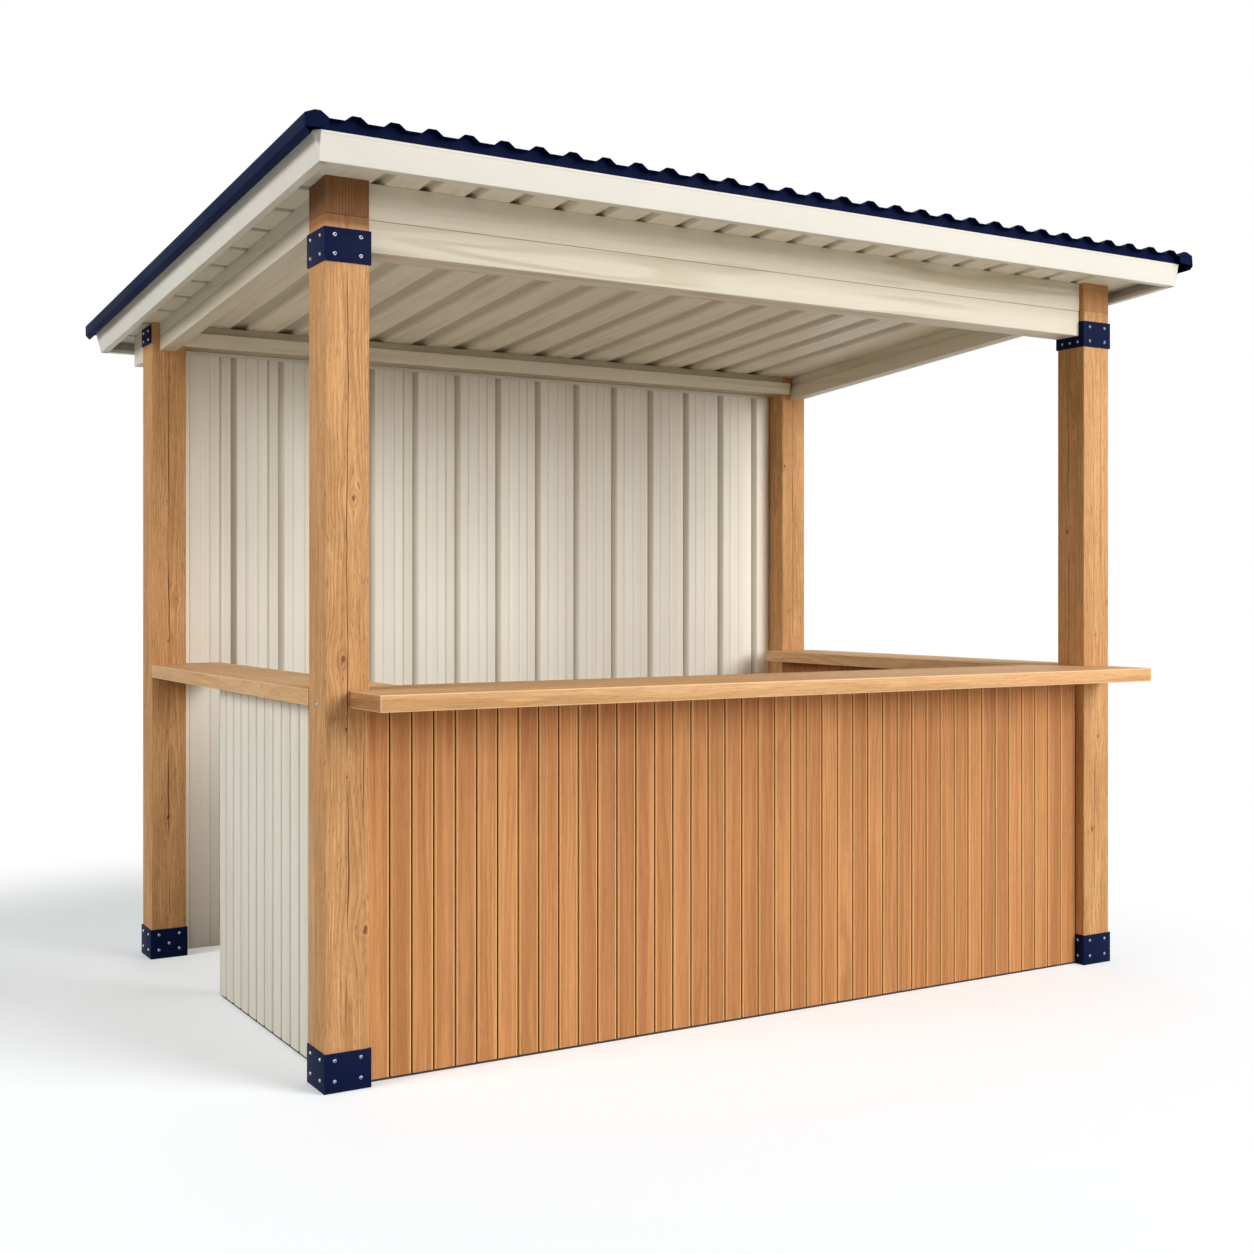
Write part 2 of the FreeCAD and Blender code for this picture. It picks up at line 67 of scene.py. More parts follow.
Place = Callable[[float, float, float], Vector]
Scale = tuple[float, float, float]
Socket = bpy.types.NodeSocket
Spot = tuple[Vector, Vector]
Tone = tuple[int, int, int]


class Side(Enum):
    """Upright faces of a post, with the outward direction of each."""

    FRONT = (0.0, -1.0)
    RIGHT = (1.0, 0.0)
    BACK = (0.0, 1.0)
    LEFT = (-1.0, 0.0)

    @property
    def out(self) -> Vector:
        """Outward direction of the face."""
        return Vector((*self.value, 0.0))

    @property
    def along(self) -> Vector:
        """Direction across the face, anticlockwise seen from above."""
        return Vector((-self.value[1], self.value[0], 0.0))


class Fold(Enum):
    """Which part of a folded sheet carries painted shade."""

    NONE = 0
    RECESS = 1
    FLANK = 2


class Grain(Enum):
    """Axis that the fibres of a timber piece run along."""

    ALONG_X = 0
    ALONG_Y = 1
    ALONG_Z = 2

    def scaled(self, across: float, along: float) -> Scale:
        """Factor for each axis that stretches a pattern along the fibres."""
        return tuple(along if axis == self.value else across for axis in range(3))


# shader maths


class Number:
    """A number that varies over a surface, with the usual operators."""

    def __init__(self, graph: "ShaderGraph", socket: Socket) -> None:
        """Wraps an output socket of a graph."""
        self.graph = graph
        self.socket = socket

    def __add__(self, other: Any) -> "Number":
        """Sum."""
        return self.graph.maths("ADD", self, other)

    def __sub__(self, other: Any) -> "Number":
        """Difference."""
        return self.graph.maths("SUBTRACT", self, other)

    def __rsub__(self, other: Any) -> "Number":
        """Difference from a plain number."""
        return self.graph.maths("SUBTRACT", other, self)

    def __mul__(self, other: Any) -> "Number":
        """Product."""
        return self.graph.maths("MULTIPLY", self, other)

    __radd__ = __add__
    __rmul__ = __mul__

    def fraction(self) -> "Number":
        """What is left after the whole part."""
        return self.graph.maths("FRACT", self)

    def largest(self, other: Any) -> "Number":
        """Larger of the two."""
        return self.graph.maths("MAXIMUM", self, other)

    def wave(self) -> "Number":
        """Sine, moved into 0 to 1."""
        return self.graph.maths("SINE", self) * 0.5 + 0.5

    def step(self, low: float, high: float) -> "Number":
        """Smooth step.

        Args:
            low: value that gives 0; it may be the larger of the two.
            high: value that gives 1.

        Returns:
            The stepped number.
        """
        node = self.graph.node(
            "ShaderNodeMapRange", {"interpolation_type": "SMOOTHSTEP", "clamp": True},
            {"Value": self, "From Min": low, "From Max": high, "To Min": 0.0, "To Max": 1.0})
        return Number(self.graph, node.outputs["Result"])


class ShaderGraph:
    """Builds the nodes of one material or world."""

    def __init__(self, tree: bpy.types.NodeTree) -> None:
        """Empties the tree that the nodes go into."""
        self.tree = tree
        tree.nodes.clear()

    def node(self, kind: str, settings: dict[str, Any],
             inputs: dict[Any, Any]) -> bpy.types.Node:
        """Adds one node.

        Args:
            kind: the node's type.
            settings: properties of the node, set before its sockets.
            inputs: values or links by socket name or index.

        Returns:
            The new node.
        """
        made = self.tree.nodes.new(kind)
        for name, value in settings.items():
            setattr(made, name, value)
        for key, value in inputs.items():
            socket = made.inputs[key] if isinstance(key, int) else self.find(made.inputs, key)
            if isinstance(value, Number):
                value = value.socket
            if isinstance(value, Socket):
                self.tree.links.new(value, socket)
            else:
                socket.default_value = value
        return made

    @staticmethod
    def find(sockets: Iterable[Socket], name: str) -> Socket:
        """First socket in use that has the name."""
        return next(socket for socket in sockets if socket.name == name and socket.enabled)

    def maths(self, operation: str, *values: Any) -> Number:
        """Math node on one or two values."""
        node = self.node("ShaderNodeMath", {"operation": operation}, dict(enumerate(values)))
        return Number(self, node.outputs["Value"])

    def vector(self, operation: str, *values: Any) -> Socket:
        """Vector Math node that gives a vector."""
        node = self.node("ShaderNodeVectorMath", {"operation": operation}, dict(enumerate(values)))
        return node.outputs["Vector"]

    def scaled(self, vector: Socket, factor: Number) -> Socket:
        """Vector times a number that varies."""
        inputs = {0: vector, "Scale": factor}
        return self.node("ShaderNodeVectorMath", {"operation": "SCALE"}, inputs).outputs["Vector"]

    def length(self, vector: Socket) -> Number:
        """Length of a vector."""
        node = self.node("ShaderNodeVectorMath", {"operation": "LENGTH"}, {0: vector})
        return Number(self, node.outputs["Value"])

    def position(self) -> Socket:
        """Place on the piece, in metres."""
        return self.node("ShaderNodeTexCoord", {}, {}).outputs["Object"]

    def scattered(self) -> Socket:
        """Place on the piece, moved by each board's own number so that boards differ.

        Returns:
            The moved place.
        """
        board = self.mark("board")
        parts = {"X": board * 3.1, "Y": board * 7.7, "Z": board * 5.3}
        shift = self.node("ShaderNodeCombineXYZ", {}, parts)
        return self.vector("ADD", self.position(), shift.outputs["Vector"])

    def height(self, place: Socket) -> Number:
        """Height of a place."""
        return Number(self, self.node("ShaderNodeSeparateXYZ", {}, {"Vector": place}).outputs["Z"])

    def mark(self, name: str) -> Number:
        """Number that the mesh carries under a name, 0 where it has none."""
        node = self.node("ShaderNodeAttribute", {"attribute_name": name}, {})
        return Number(self, node.outputs["Fac"])

    def noise(self, place: Socket, scale: Scale, detail: float = 2.0,
              roughness: float = 0.5) -> Number:
        """Noise in 0 to 1.

        Args:
            place: where to read it.
            scale: cells a metre along each axis.
            detail: octaves of finer noise.
            roughness: strength of the finer noise.

        Returns:
            The noise.
        """
        node = self.node("ShaderNodeTexNoise", {"noise_dimensions": "3D"}, {
            "Vector": self.vector("MULTIPLY", place, scale), "Scale": 1.0,
            "Detail": detail, "Roughness": roughness})
        return Number(self, self.find(node.outputs, "Fac"))

    def layered(self, base: Tone, layers: Iterable[tuple[Number, Tone]]) -> Socket:
        """Lays tones over each other.

        Args:
            base: the lowest tone.
            layers: for each tone above it the share that it covers, 0 to 1, and the tone.

        Returns:
            The mixed colour.
        """
        colour = tone(*base)
        for share, over in layers:
            node = self.node(
                "ShaderNodeMix",
                {"data_type": "RGBA", "blend_type": "MIX", "clamp_factor": True},
                {"Factor": share, "A": colour, "B": tone(*over)})
            colour = self.find(node.outputs, "Result")
        return colour

    def bump(self, height: Number, distance: float, under: Socket | None = None) -> Socket:
        """Normal raised by a height.

        Args:
            height: the height, 0 to 1.
            distance: what a height of 1 is, in metres.
            under: a coarser or finer normal that it is laid over.

        Returns:
            The normal.
        """
        inputs = {"Height": height, "Distance": distance, "Strength": 1.0}
        if under is not None:
            inputs["Normal"] = under
        return self.node("ShaderNodeBump", {}, inputs).outputs["Normal"]

    def blend(self, share: Number, first: bpy.types.Node,
              second: bpy.types.Node) -> bpy.types.Node:
        """Mix of two shaders; share is that of the second."""
        inputs = {0: share, 1: first.outputs[0], 2: second.outputs[0]}
        return self.node("ShaderNodeMixShader", {}, inputs)

    def shade(self, **inputs: Any) -> None:
        """Ends the material in a principled shader; underscores stand for spaces."""
        sockets = {name.replace("_", " "): value for name, value in inputs.items()}
        self.surface(self.node("ShaderNodeBsdfPrincipled", {}, sockets))

    def surface(self, shader: bpy.types.Node) -> None:
        """Joins a shader to the material's output."""
        self.node("ShaderNodeOutputMaterial", {}, {"Surface": shader.outputs[0]})


def tone(*screen: int) -> tuple[float, ...]:
    """Linear colour with full alpha.

    Args:
        screen: the red, green and blue that it should show, 0 to 255.

    Returns:
        The colour.
    """
    linear = []
    for share in (part / 255 for part in screen):
        linear.append(share / 12.92 if share <= 0.04045 else ((share + 0.055) / 1.055) ** 2.4)
    return (*linear, 1.0)


# finishes


@dataclass(frozen=True)
class Finish:
    """Base of all finishes: a named material made once, and the record's slot for it."""

    name: str
    slot: str

    def material(self) -> bpy.types.Material:
        """Finds the finish's material, or makes it at its first use.

        Returns:
            The material.
        """
        made = bpy.data.materials.get(self.name)
        if made is None:
            made = bpy.data.materials.new(self.name)
            made.use_nodes = True
            self.paint(ShaderGraph(made.node_tree))
        return made

    def paint(self, graph: ShaderGraph) -> None:
        """Fills the material's graph."""
        raise NotImplementedError


@dataclass(frozen=True)
class Knot:
    """A knot at a place on a timber face, with the radius of its dark heart in metres."""

    x: float
    y: float
    z: float
    radius: float


@dataclass(frozen=True)
class Timber(Finish):
    """Timber with growth rings, fibres, pores, knots and drying cracks, and painted shade and
    highlights.
    """

    grain: Grain = Grain.ALONG_Z
    light: Tone = (230, 182, 126)
    middle: Tone = (209, 155, 99)
    dark: Tone = (162, 108, 60)
    heart: Tone = (96, 58, 30)
    pith: tuple[float, float, float] = (0.02, 0.03, 0.0)
    ring_width: float = 0.0062
    ring_strength: float = 0.62
    ring_sway: float = 0.045
    wander: float = 0.020
    patch_stretch: tuple[float, float] = (14.0, 3.4)
    streak_strength: float = 0.65
    fibre_strength: float = 0.6
    pore_strength: float = 0.6
    patch_strength: float = 0.34
    board_tones: float = 0.0
    edge_highlight_tone: Tone = (226, 178, 122)
    edge_highlight: float = 0.25
    stain_tone: Tone = (122, 78, 42)
    roughness: float = 0.6
    relief: float = 0.0004
    knots: tuple[Knot, ...] = ()

    def warped(self, graph: ShaderGraph,
               place: Socket) -> tuple[Socket, list[Number], list[Number]]:
        """Pushes the grain round the knots.

        Args:
            graph: the graph to build in.
            place: the place on the piece.

        Returns:
            The bent place, and each knot's heart and rings as numbers.
        """
        hearts, rings = [], []
        bent = place
        squeeze = self.grain.scaled(1.0, 0.55)
        wobble = graph.noise(place, (70, 70, 70)) - 0.5
        for knot in self.knots:
            apart = graph.vector("SUBTRACT", place, (knot.x, knot.y, knot.z))
            reach = graph.length(graph.vector("MULTIPLY", apart, squeeze))
            ragged = reach + wobble * (knot.radius * 1.3)
            push = reach.step(knot.radius * 6.0, knot.radius * 0.6)
            sideways = graph.vector("MULTIPLY", apart, self.grain.scaled(-0.75, 0.0))
            bent = graph.vector("ADD", bent, graph.scaled(sideways, push))
            hearts.append(ragged.step(knot.radius * 0.75, knot.radius * 0.25))
            rings.append((ragged * (5.5 / knot.radius)).wave()
                         * ragged.step(knot.radius * 2.6, knot.radius * 0.6))
        return bent, hearts, rings

    def flowing(self, graph: ShaderGraph, place: Socket) -> Socket:
        """Lets the fibres wander slowly sideways along the piece."""
        sway = (graph.noise(place, self.grain.scaled(8.0, 2.0)) - 0.5) * self.wander
        return graph.vector("ADD", place, graph.scaled(self.grain.scaled(1.0, 0.0), sway))

    def growth(self, graph: ShaderGraph, place: Socket) -> Number:
        """Makes growth rings round the pith.

        Args:
            graph: the graph to build in.
            place: the place on the piece.

        Returns:
            0 in spring wood to 1 in summer wood.
        """
        stretch = self.grain.scaled
        apart = graph.vector("MULTIPLY", graph.vector("SUBTRACT", place, self.pith),
                             stretch(1.0, 0.0))
        sway = graph.noise(place, stretch(5.0, 1.1), 2.0, 0.45) - 0.5
        ruffle = graph.noise(place, stretch(40, 4.0)) - 0.5
        reach = graph.length(apart) + sway * self.ring_sway + ruffle * 0.0045
        turn = (reach * (1 / self.ring_width)).fraction()
        return turn.step(0.25, 0.84) * turn.step(1.0, 0.92)

    def paint(self, graph: ShaderGraph) -> None:
        """Lays rings, streaks, fibres, pores, knots and cracks over each other, then painted shade
        and highlights.

        Args:
            graph: the material's graph.
        """
        stretch = self.grain.scaled
        pushed, hearts, rings = self.warped(graph, graph.scattered())
        bent = self.flowing(graph, pushed)
        presence = graph.noise(pushed, stretch(12, 1.8), 1.0).step(0.26, 0.56)
        growth = self.growth(graph, pushed) * presence
        streaks = graph.noise(bent, stretch(38, 1.1), 3.0, 0.55).step(0.30, 0.70)
        fibres = graph.noise(bent, stretch(300, 8.0), 3.0, 0.65).step(0.32, 0.68)
        fine = graph.noise(bent, stretch(760, 30.0)).step(0.36, 0.64)
        patches = graph.noise(pushed, stretch(*self.patch_stretch), 3.0, 0.6).step(0.34, 0.68)
        pores = graph.noise(bent, stretch(560, 26.0), 1.0).step(0.63, 0.71)
        # the check mark: drying cracks on the posts, painted shade in the boards' grooves
        crack = graph.mark("check")
        layers = [(streaks * self.streak_strength, self.light),
                  (patches * self.patch_strength, self.dark),
                  (growth * self.ring_strength, self.dark),
                  (fibres * self.fibre_strength, self.dark),
                  (fine * 0.2, self.light), (pores * self.pore_strength, self.heart)]
        if self.board_tones > 0:
            layers.append((graph.mark("board").step(0.05, 0.95) * self.board_tones, self.dark))
        if self.knots:
            layers += [(reduce(Number.largest, rings) * 0.5, self.dark),
                       (reduce(Number.largest, hearts) * 0.8, self.heart)]
        # painted shade on the front left post's top; painted highlight on eased edges
        layers += [(graph.mark("stain") * 0.8, self.stain_tone),
                   (graph.mark("edge") * self.edge_highlight, self.edge_highlight_tone),
                   (crack * 0.9, self.heart)]
        height = fibres * 0.5 - growth * 0.3 - pores * 0.8 - crack
        graph.shade(Base_Color=graph.layered(self.middle, layers),
                    Roughness=self.roughness + fibres * 0.12,
                    Normal=graph.bump(height, self.relief), Specular_IOR_Level=0.3)


@dataclass(frozen=True)
class PaintedTimber(Finish):
    """Painted timber with the grain showing faintly through, and painted shade in the slats'
    grooves.
    """

    grain: Grain = Grain.ALONG_X
    paint_tone: Tone = (232, 224, 204)
    grain_tone: Tone = (205, 190, 160)
    groove_shade_tone: Tone = (120, 110, 92)
    shows: float = 0.45
    roughness: float = 0.5
    relief: float = 0.00022

    def paint(self, graph: ShaderGraph) -> None:
        """Lays faint long streaks under the paint, and painted shade in the grooves.

        Args:
            graph: the material's graph.
        """
        place = graph.scattered()
        stretch = self.grain.scaled
        sweep = graph.noise(place, stretch(9.0, 0.55))
        bands = (sweep * 34 + graph.noise(place, stretch(50, 1.6))).wave()
        fibres = graph.noise(place, stretch(240, 4.0), 3.0, 0.6).step(0.35, 0.7)
        strength = graph.noise(place, stretch(5.0, 1.1), 1.0).step(0.35, 0.7)
        streaks = bands.step(0.45, 1.0) * strength + fibres * 0.22
        # the check mark paints shade in the grooves between slats
        colour = graph.layered(self.paint_tone, [
            (streaks * self.shows, self.grain_tone),
            (graph.mark("check") * 0.8, self.groove_shade_tone)])
        graph.shade(Base_Color=colour, Roughness=self.roughness + fibres * 0.1,
                    Normal=graph.bump(fibres * 0.5 + bands * 0.4, self.relief),
                    Specular_IOR_Level=0.3)


@dataclass(frozen=True)
class CoatedSteel(Finish):
    """Coil coated sheet or powder coated plate: even colour, soft waves, a little dust and painted
    shade in the ribs.
    """

    colour: Tone = (228, 221, 204)
    dust: Tone = (188, 176, 150)
    dust_strength: float = 0.25
    edge: Tone = (240, 236, 226)
    edge_strength: float = 0.0
    recess_shade_tone: Tone = (150, 138, 114)
    recess_shade_strength: float = 0.0
    streaks: float = 0.0
    streak_stretch: Scale = (26.0, 26.0, 0.5)
    roughness: float = 0.42
    gloss: float = 0.3
    grain_relief: float = 0.00004
    wave_relief: float = 0.0024

    def paint(self, graph: ShaderGraph) -> None:
        """Lays dust, edge wear and painted shade in the recesses over an even coat.

        Args:
            graph: the material's graph.
        """
        place = graph.position()
        cloud = graph.noise(place, (3.0, 3.0, 1.6), 3.0, 0.55)
        runs = graph.noise(place, (38, 38, 1.2), 3.0, 0.6).step(0.45, 0.8)
        low = graph.height(place).step(0.35, 0.0)
        dusty = cloud.step(0.42, 0.75) * 0.5 + runs * 0.25 + low * cloud * 0.6
        dusty = dusty * self.dust_strength
        edge_wear_and_highlight = graph.mark("edge") * graph.noise(place, (130, 130, 130), 3.0, 0.7).step(0.38, 0.62)
        layers = [(dusty, self.dust)]
        if self.streaks > 0:
            marks = graph.noise(place, self.streak_stretch, 2.0, 0.6).step(0.44, 0.72)
            layers.append((marks * self.streaks, self.dust))
        # edge wear, then painted shade where the recess mark lies: rib recesses and steep flanks
        layers += [(edge_wear_and_highlight * self.edge_strength, self.edge),
                   (graph.mark("recess") * self.recess_shade_strength, self.recess_shade_tone)]
        peel = graph.bump(graph.noise(place, (900, 900, 900)), self.grain_relief)
        waves = graph.noise(place, (5, 5, 2.2), 1.0)
        graph.shade(Base_Color=graph.layered(self.colour, layers),
                    Roughness=self.roughness + (cloud - 0.5) * 0.16 + dusty * 0.3,
                    Normal=graph.bump(waves, self.wave_relief, peel),
                    Specular_IOR_Level=self.gloss)


@dataclass(frozen=True)
class ZincScrew(Finish):
    """Bright zinc plated steel, with painted shade in the screw's recess."""

    bright: Tone = (186, 188, 192)
    scuffed: Tone = (116, 118, 122)
    hollow_shade: Tone = (30, 32, 38)

    def paint(self, graph: ShaderGraph) -> None:
        """Makes metal with fine scuffs and painted shade in the recess.

        Args:
            graph: the material's graph.
        """
        scuffs = graph.noise(graph.position(), (700, 700, 700), 3.0, 0.6)
        colour = graph.layered(self.bright, [(scuffs.step(0.4, 0.7) * 0.35, self.scuffed),
                                             (graph.mark("recess"), self.hollow_shade)])
        graph.shade(Base_Color=colour, Metallic=1.0, Roughness=scuffs * 0.25 + 0.22,
                    Normal=graph.bump(scuffs, 0.00005))


@dataclass(frozen=True)
class PaintedShadeStrip(Finish):
    """Dark strip of painted shade, in the gap at the foot of the walls or in a joint."""

    base: Tone = (44, 38, 32)
    dust: Tone = (92, 84, 72)

    def paint(self, graph: ShaderGraph) -> None:
        """Makes a matt dark tone with a little dust.

        Args:
            graph: the material's graph.
        """
        speck = graph.noise(graph.position(), (160, 160, 160), 3.0)
        colour = graph.layered(self.base, [(speck.step(0.4, 0.8) * 0.4, self.dust)])
        graph.shade(Base_Color=colour, Roughness=0.85, Normal=graph.bump(speck, 0.0002))


# mesh making


@dataclass
class MeshDraft:
    """Points, faces and marks of a piece being made."""

    points: Line = field(default_factory=list)
    faces: list[tuple[int, ...]] = field(default_factory=list)
    marks: dict[str, list[float]] = field(default_factory=dict)

    def add(self, point: Vector, **marks: float) -> int:
        """Adds a point.

        Args:
            point: where it is, in metres.
            marks: numbers that the point carries for the finish.

        Returns:
            The point's index.
        """
        index = len(self.points)
        self.points.append(point)
        for name in marks:
            self.marks.setdefault(name, [0.0] * index)
        for name, values in self.marks.items():
            values.append(marks.get(name, 0.0))
        return index

    def band(self, first: Sequence[int], second: Sequence[int], closed: bool = True) -> None:
        """Joins two rows of points with four-cornered faces.

        Args:
            first: indices of one row.
            second: indices of the next row.
            closed: whether the rows are rings.
        """
        count = len(first)
        for index in range(count if closed else count - 1):
            after = (index + 1) % count
            self.faces.append((first[index], first[after], second[after], second[index]))

    def loft(self, rings: Sequence[Sequence[int]]) -> None:
        """Joins rings of points in a row and closes both ends.

        Args:
            rings: the indices of each ring.
        """
        for first, second in pairwise(rings):
            self.band(first, second)
        self.faces += [tuple(rings[0][::-1]), tuple(rings[-1])]

    def bar(self, section: Sequence[tuple[float, float]], start: float, end: float,
            place: Place) -> None:
        """Adds a straight bar.

        Args:
            section: corners of its section.
            start: where it starts.
            end: where it ends.
            place: gives a point from a corner's first number, the run and the second number.
        """
        self.loft([[self.add(place(u, run, v)) for u, v in section] for run in (start, end)])

    def turned(self, section: Sequence[tuple[float, float, bool]], spot: Spot, turn: float,
               segments: int = 24, deep_rings: int = 0) -> None:
        """Adds a turned part, such as a screw's head.

        Args:
            section: (radius, height, six-sided) from the rim at the bottom to the middle on top.
            spot: foot and direction of its axis.
            turn: turn about the axis.
            segments: points in each ring.
            deep_rings: how many of the last rings lie in the recess, which carries painted shade.
        """
        at, out = spot
        side = out.orthogonal().normalized()
        other = out.cross(side)
        sixth = math.pi / 3
        rings = []
        for order, (radius, height, six_sided) in enumerate(section):
            deep = float(order >= len(section) - deep_rings)
            ring = []
            for index in range(segments):
                angle = 2 * math.pi * index / segments
                reach = radius
                if six_sided:
                    reach *= math.cos(sixth / 2) / math.cos(angle % sixth - sixth / 2)
                spoke = side * math.cos(angle + turn) + other * math.sin(angle + turn)
                ring.append(self.add(at + spoke * reach + out * height, recess=deep))
            rings.append(ring)
        self.loft(rings)

    def piece(self, name: str, finish: Finish, stands_for: Sequence[str] = (),
              smooth: float = SMOOTH) -> None:
        """Makes the piece and ties it to the frame.

        Args:
            name: the piece's name.
            finish: its finish.
            stands_for: the frame's nodes that it replaces.
            smooth: folds flatter than this many degrees are shaded round.
        """
        mesh = bpy.data.meshes.new(name)
        mesh.from_pydata([tuple(point) for point in self.points], [], self.faces)
        for label, values in self.marks.items():
            mesh.attributes.new(label, "FLOAT", "POINT").data.foreach_set("value", values)
        shape = bmesh.new()
        shape.from_mesh(mesh)
        bmesh.ops.recalc_face_normals(shape, faces=shape.faces)
        shape.to_mesh(mesh)
        shape.free()
        dressed(name, mesh, (finish,), stands_for, smooth)


def dressed(name: str, mesh: bpy.types.Mesh, finishes: Sequence[Finish],
            stands_for: Sequence[str], smooth: float) -> bpy.types.Object:
    """Turns a mesh into a finished piece that rides on the frame.

    Args:
        name: the piece's name.
        mesh: its mesh, in the frame's place.
        finishes: its finishes.
        stands_for: the frame's nodes that it replaces.
        smooth: folds flatter than this many degrees are shaded round.

    Returns:
        The new object.
    """
    for finish in finishes:
        mesh.materials.append(finish.material())
    mesh.shade_smooth()
    mesh.set_sharp_from_angle(angle=math.radians(smooth))
    made = bpy.data.objects.new(name, mesh)
    bpy.context.scene.collection.objects.link(made)
    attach(made, BODY)
    if stands_for:
        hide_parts(*stands_for)
    log.info("%s: %d faces", name, len(mesh.polygons))
    return made


def eased_copy(node: str, name: str, finishes: Sequence[Finish], radius: float, steps: int = 2,
               tint_of: Callable[[Vector], int] | None = None) -> bpy.types.Object:
    """Copy of a straight-edged frame node with its edges eased.

    Args:
        node: the frame's node.
        name: the new piece's name.
        finishes: its finishes.
        radius: size of the easing in metres.
        steps: faces across each eased edge.
        tint_of: gives the finish's index from the middle of a face.

    Returns:
        The new object.
    """
    shape = bmesh.new()
    shape.from_mesh(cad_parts[node].data)
    layer = shape.faces.layers.float.new("edge")
    bmesh.ops.remove_doubles(shape, verts=shape.verts, dist=MERGED)
    bmesh.ops.dissolve_limit(shape, angle_limit=FLAT, verts=shape.verts, edges=shape.edges)
    sharp = [edge for edge in shape.edges
             if len(edge.link_faces) == 2 and edge.calc_face_angle() > SHARP]
    eased = bmesh.ops.bevel(shape, geom=sharp, offset=radius, segments=steps, profile=0.5,
                            affect="EDGES", clamp_overlap=True)
    for face in eased["faces"]:
        face[layer] = 1.0
    if tint_of is not None:
        for face in shape.faces:
            face.material_index = tint_of(face.calc_center_median())
    mesh = bpy.data.meshes.new(name)
    shape.to_mesh(mesh)
    shape.free()
    return dressed(name, mesh, finishes, (node,), SMOOTH)


def rounded(line: Line, radius: float) -> Line:
    """Open line with its bends rounded.

    Args:
        line: corner points.
        radius: inner radius of a bend.

    Returns:
        The rounded line.
    """
    result = [line[0].copy()]
    for before, corner, after in zip(line, line[1:], line[2:]):
        back = before - corner
        ahead = after - corner
        turn = back.angle(ahead)
        if turn > STRAIGHT:
            result.append(corner.copy())
            continue
        cut = min(radius / math.tan(turn / 2), BEND_SHARE * back.length,
                  BEND_SHARE * ahead.length)
        start = corner + back.normalized() * cut
        end = corner + ahead.normalized() * cut
        for index in range(BEND_STEPS + 1):
            share = index / BEND_STEPS
            result.append(start.lerp(corner, share).lerp(corner.lerp(end, share), share))
    result.append(line[-1].copy())
    return result


def offset(line: Line, distance: float) -> Line:
    """Open line moved sideways to its left.

    Args:
        line: points of the line.
        distance: how far, in metres.

    Returns:
        The moved line.
    """
    normals = []
    for start, end in pairwise(line):
        run = (end - start).normalized()
        normals.append(Vector((-run.y, run.x)))
    moved = []
    for index, point in enumerate(line):
        before = normals[max(index - 1, 0)]
        after = normals[min(index, len(normals) - 1)]
        moved.append(point + (before + after) * (distance / (1 + before.dot(after))))
    return moved


def line_through(*points: tuple[float, float]) -> Line:
    """Line through corner points."""
    return [Vector(point) for point in points]


@dataclass(frozen=True)
class Ribs:
    """Ribs of a folded sheet: a rib has a top, the crown, between two sloping flanks."""

    pitch: float
    edge_pan: float
    crown: float
    flank: float
    height: float
    shift: float = 0.0

    def line(self, length: float) -> Line:
        """Line of a sheet with these ribs, spread evenly but for the shift.

        Args:
            length: width of the sheet.

        Returns:
            The line, from 0 to length.
        """
        half = self.crown / 2 + self.flank
        bays = int((length - 2 * (self.edge_pan + half)) / self.pitch)
        first = (length - bays * self.pitch) / 2 + self.shift
        points = [(0.0, 0.0)]
        for centre in (first + index * self.pitch for index in range(bays + 1)):
            points += [(centre - half, 0.0), (centre - self.crown / 2, self.height),
                       (centre + self.crown / 2, self.height), (centre + half, 0.0)]
        return line_through(*points, (length, 0.0))


@dataclass
class FoldedSheet:
    """A sheet folded along parallel bends."""

    name: str
    node: str
    finish: Finish
    line: Line
    thickness: float
    start: float
    end: float
    place: Place
    radius: float
    rows: int = 1
    ripple: float = 0.0
    shaded: Fold = Fold.NONE
    ripple_cells: ClassVar[Scale] = (0.31, 1.7, 4.2)
    recess_gain: ClassVar[float] = 2.0
    flank_gain: ClassVar[float] = 1.3
    crease_depth: ClassVar[float] = 0.15
    crease_share: ClassVar[float] = 0.3

    def mark(self, line: Line, index: int, deepest: float) -> float:
        """How far a point carries painted shade, from its depth in a recess or the steepness of a
        flank.

        Args:
            line: the sheet's line.
            index: the point's index.
            deepest: depth of the recesses.

        Returns:
            0 to 1.
        """
        if self.shaded is Fold.RECESS:
            return min(1.0, self.recess_gain * line[index].y / deepest)
        if self.shaded is Fold.FLANK:
            run = line[min(index + 1, len(line) - 1)] - line[max(index - 1, 0)]
            shallow = line[index].y < self.crease_depth * deepest
            steep = min(1.0, abs(run.y) / run.length * self.flank_gain)
            return steep * (self.crease_share if shallow else 1.0)
        return 0.0

    def build(self) -> None:
        """Sweeps the folded section from start to end."""
        under = rounded(self.line, self.radius)
        over = offset(under, self.thickness)
        deepest = max(point.y for point in under)
        draft = MeshDraft()
        across, along, seed = self.ripple_cells
        rows = []
        for row in range(self.rows + 1):
            run = self.start + (self.end - self.start) * row / self.rows
            pairs = []
            for index, points in enumerate(zip(under, over)):
                cell = Vector((index * across, run * along, seed))
                sway = self.ripple * noise.noise(cell)
                # painted shade mark for the recesses or the flanks
                mark = self.mark(under, index, deepest)
                pairs.append([draft.add(self.place(point.x, run, point.y + sway), recess=mark)
                              for point in points])
            rows.append(tuple(zip(*pairs)))
        for (low, high), (next_low, next_high) in pairwise(rows):
            draft.band(low, next_low, False)
            draft.band(high, next_high, False)
            draft.faces += [(low[end], next_low[end], next_high[end], high[end])
                            for end in (0, -1)]
        for low, high in (rows[0], rows[-1]):
            draft.band(low, high, False)
        draft.piece(self.name, self.finish, (self.node,))


# setting out


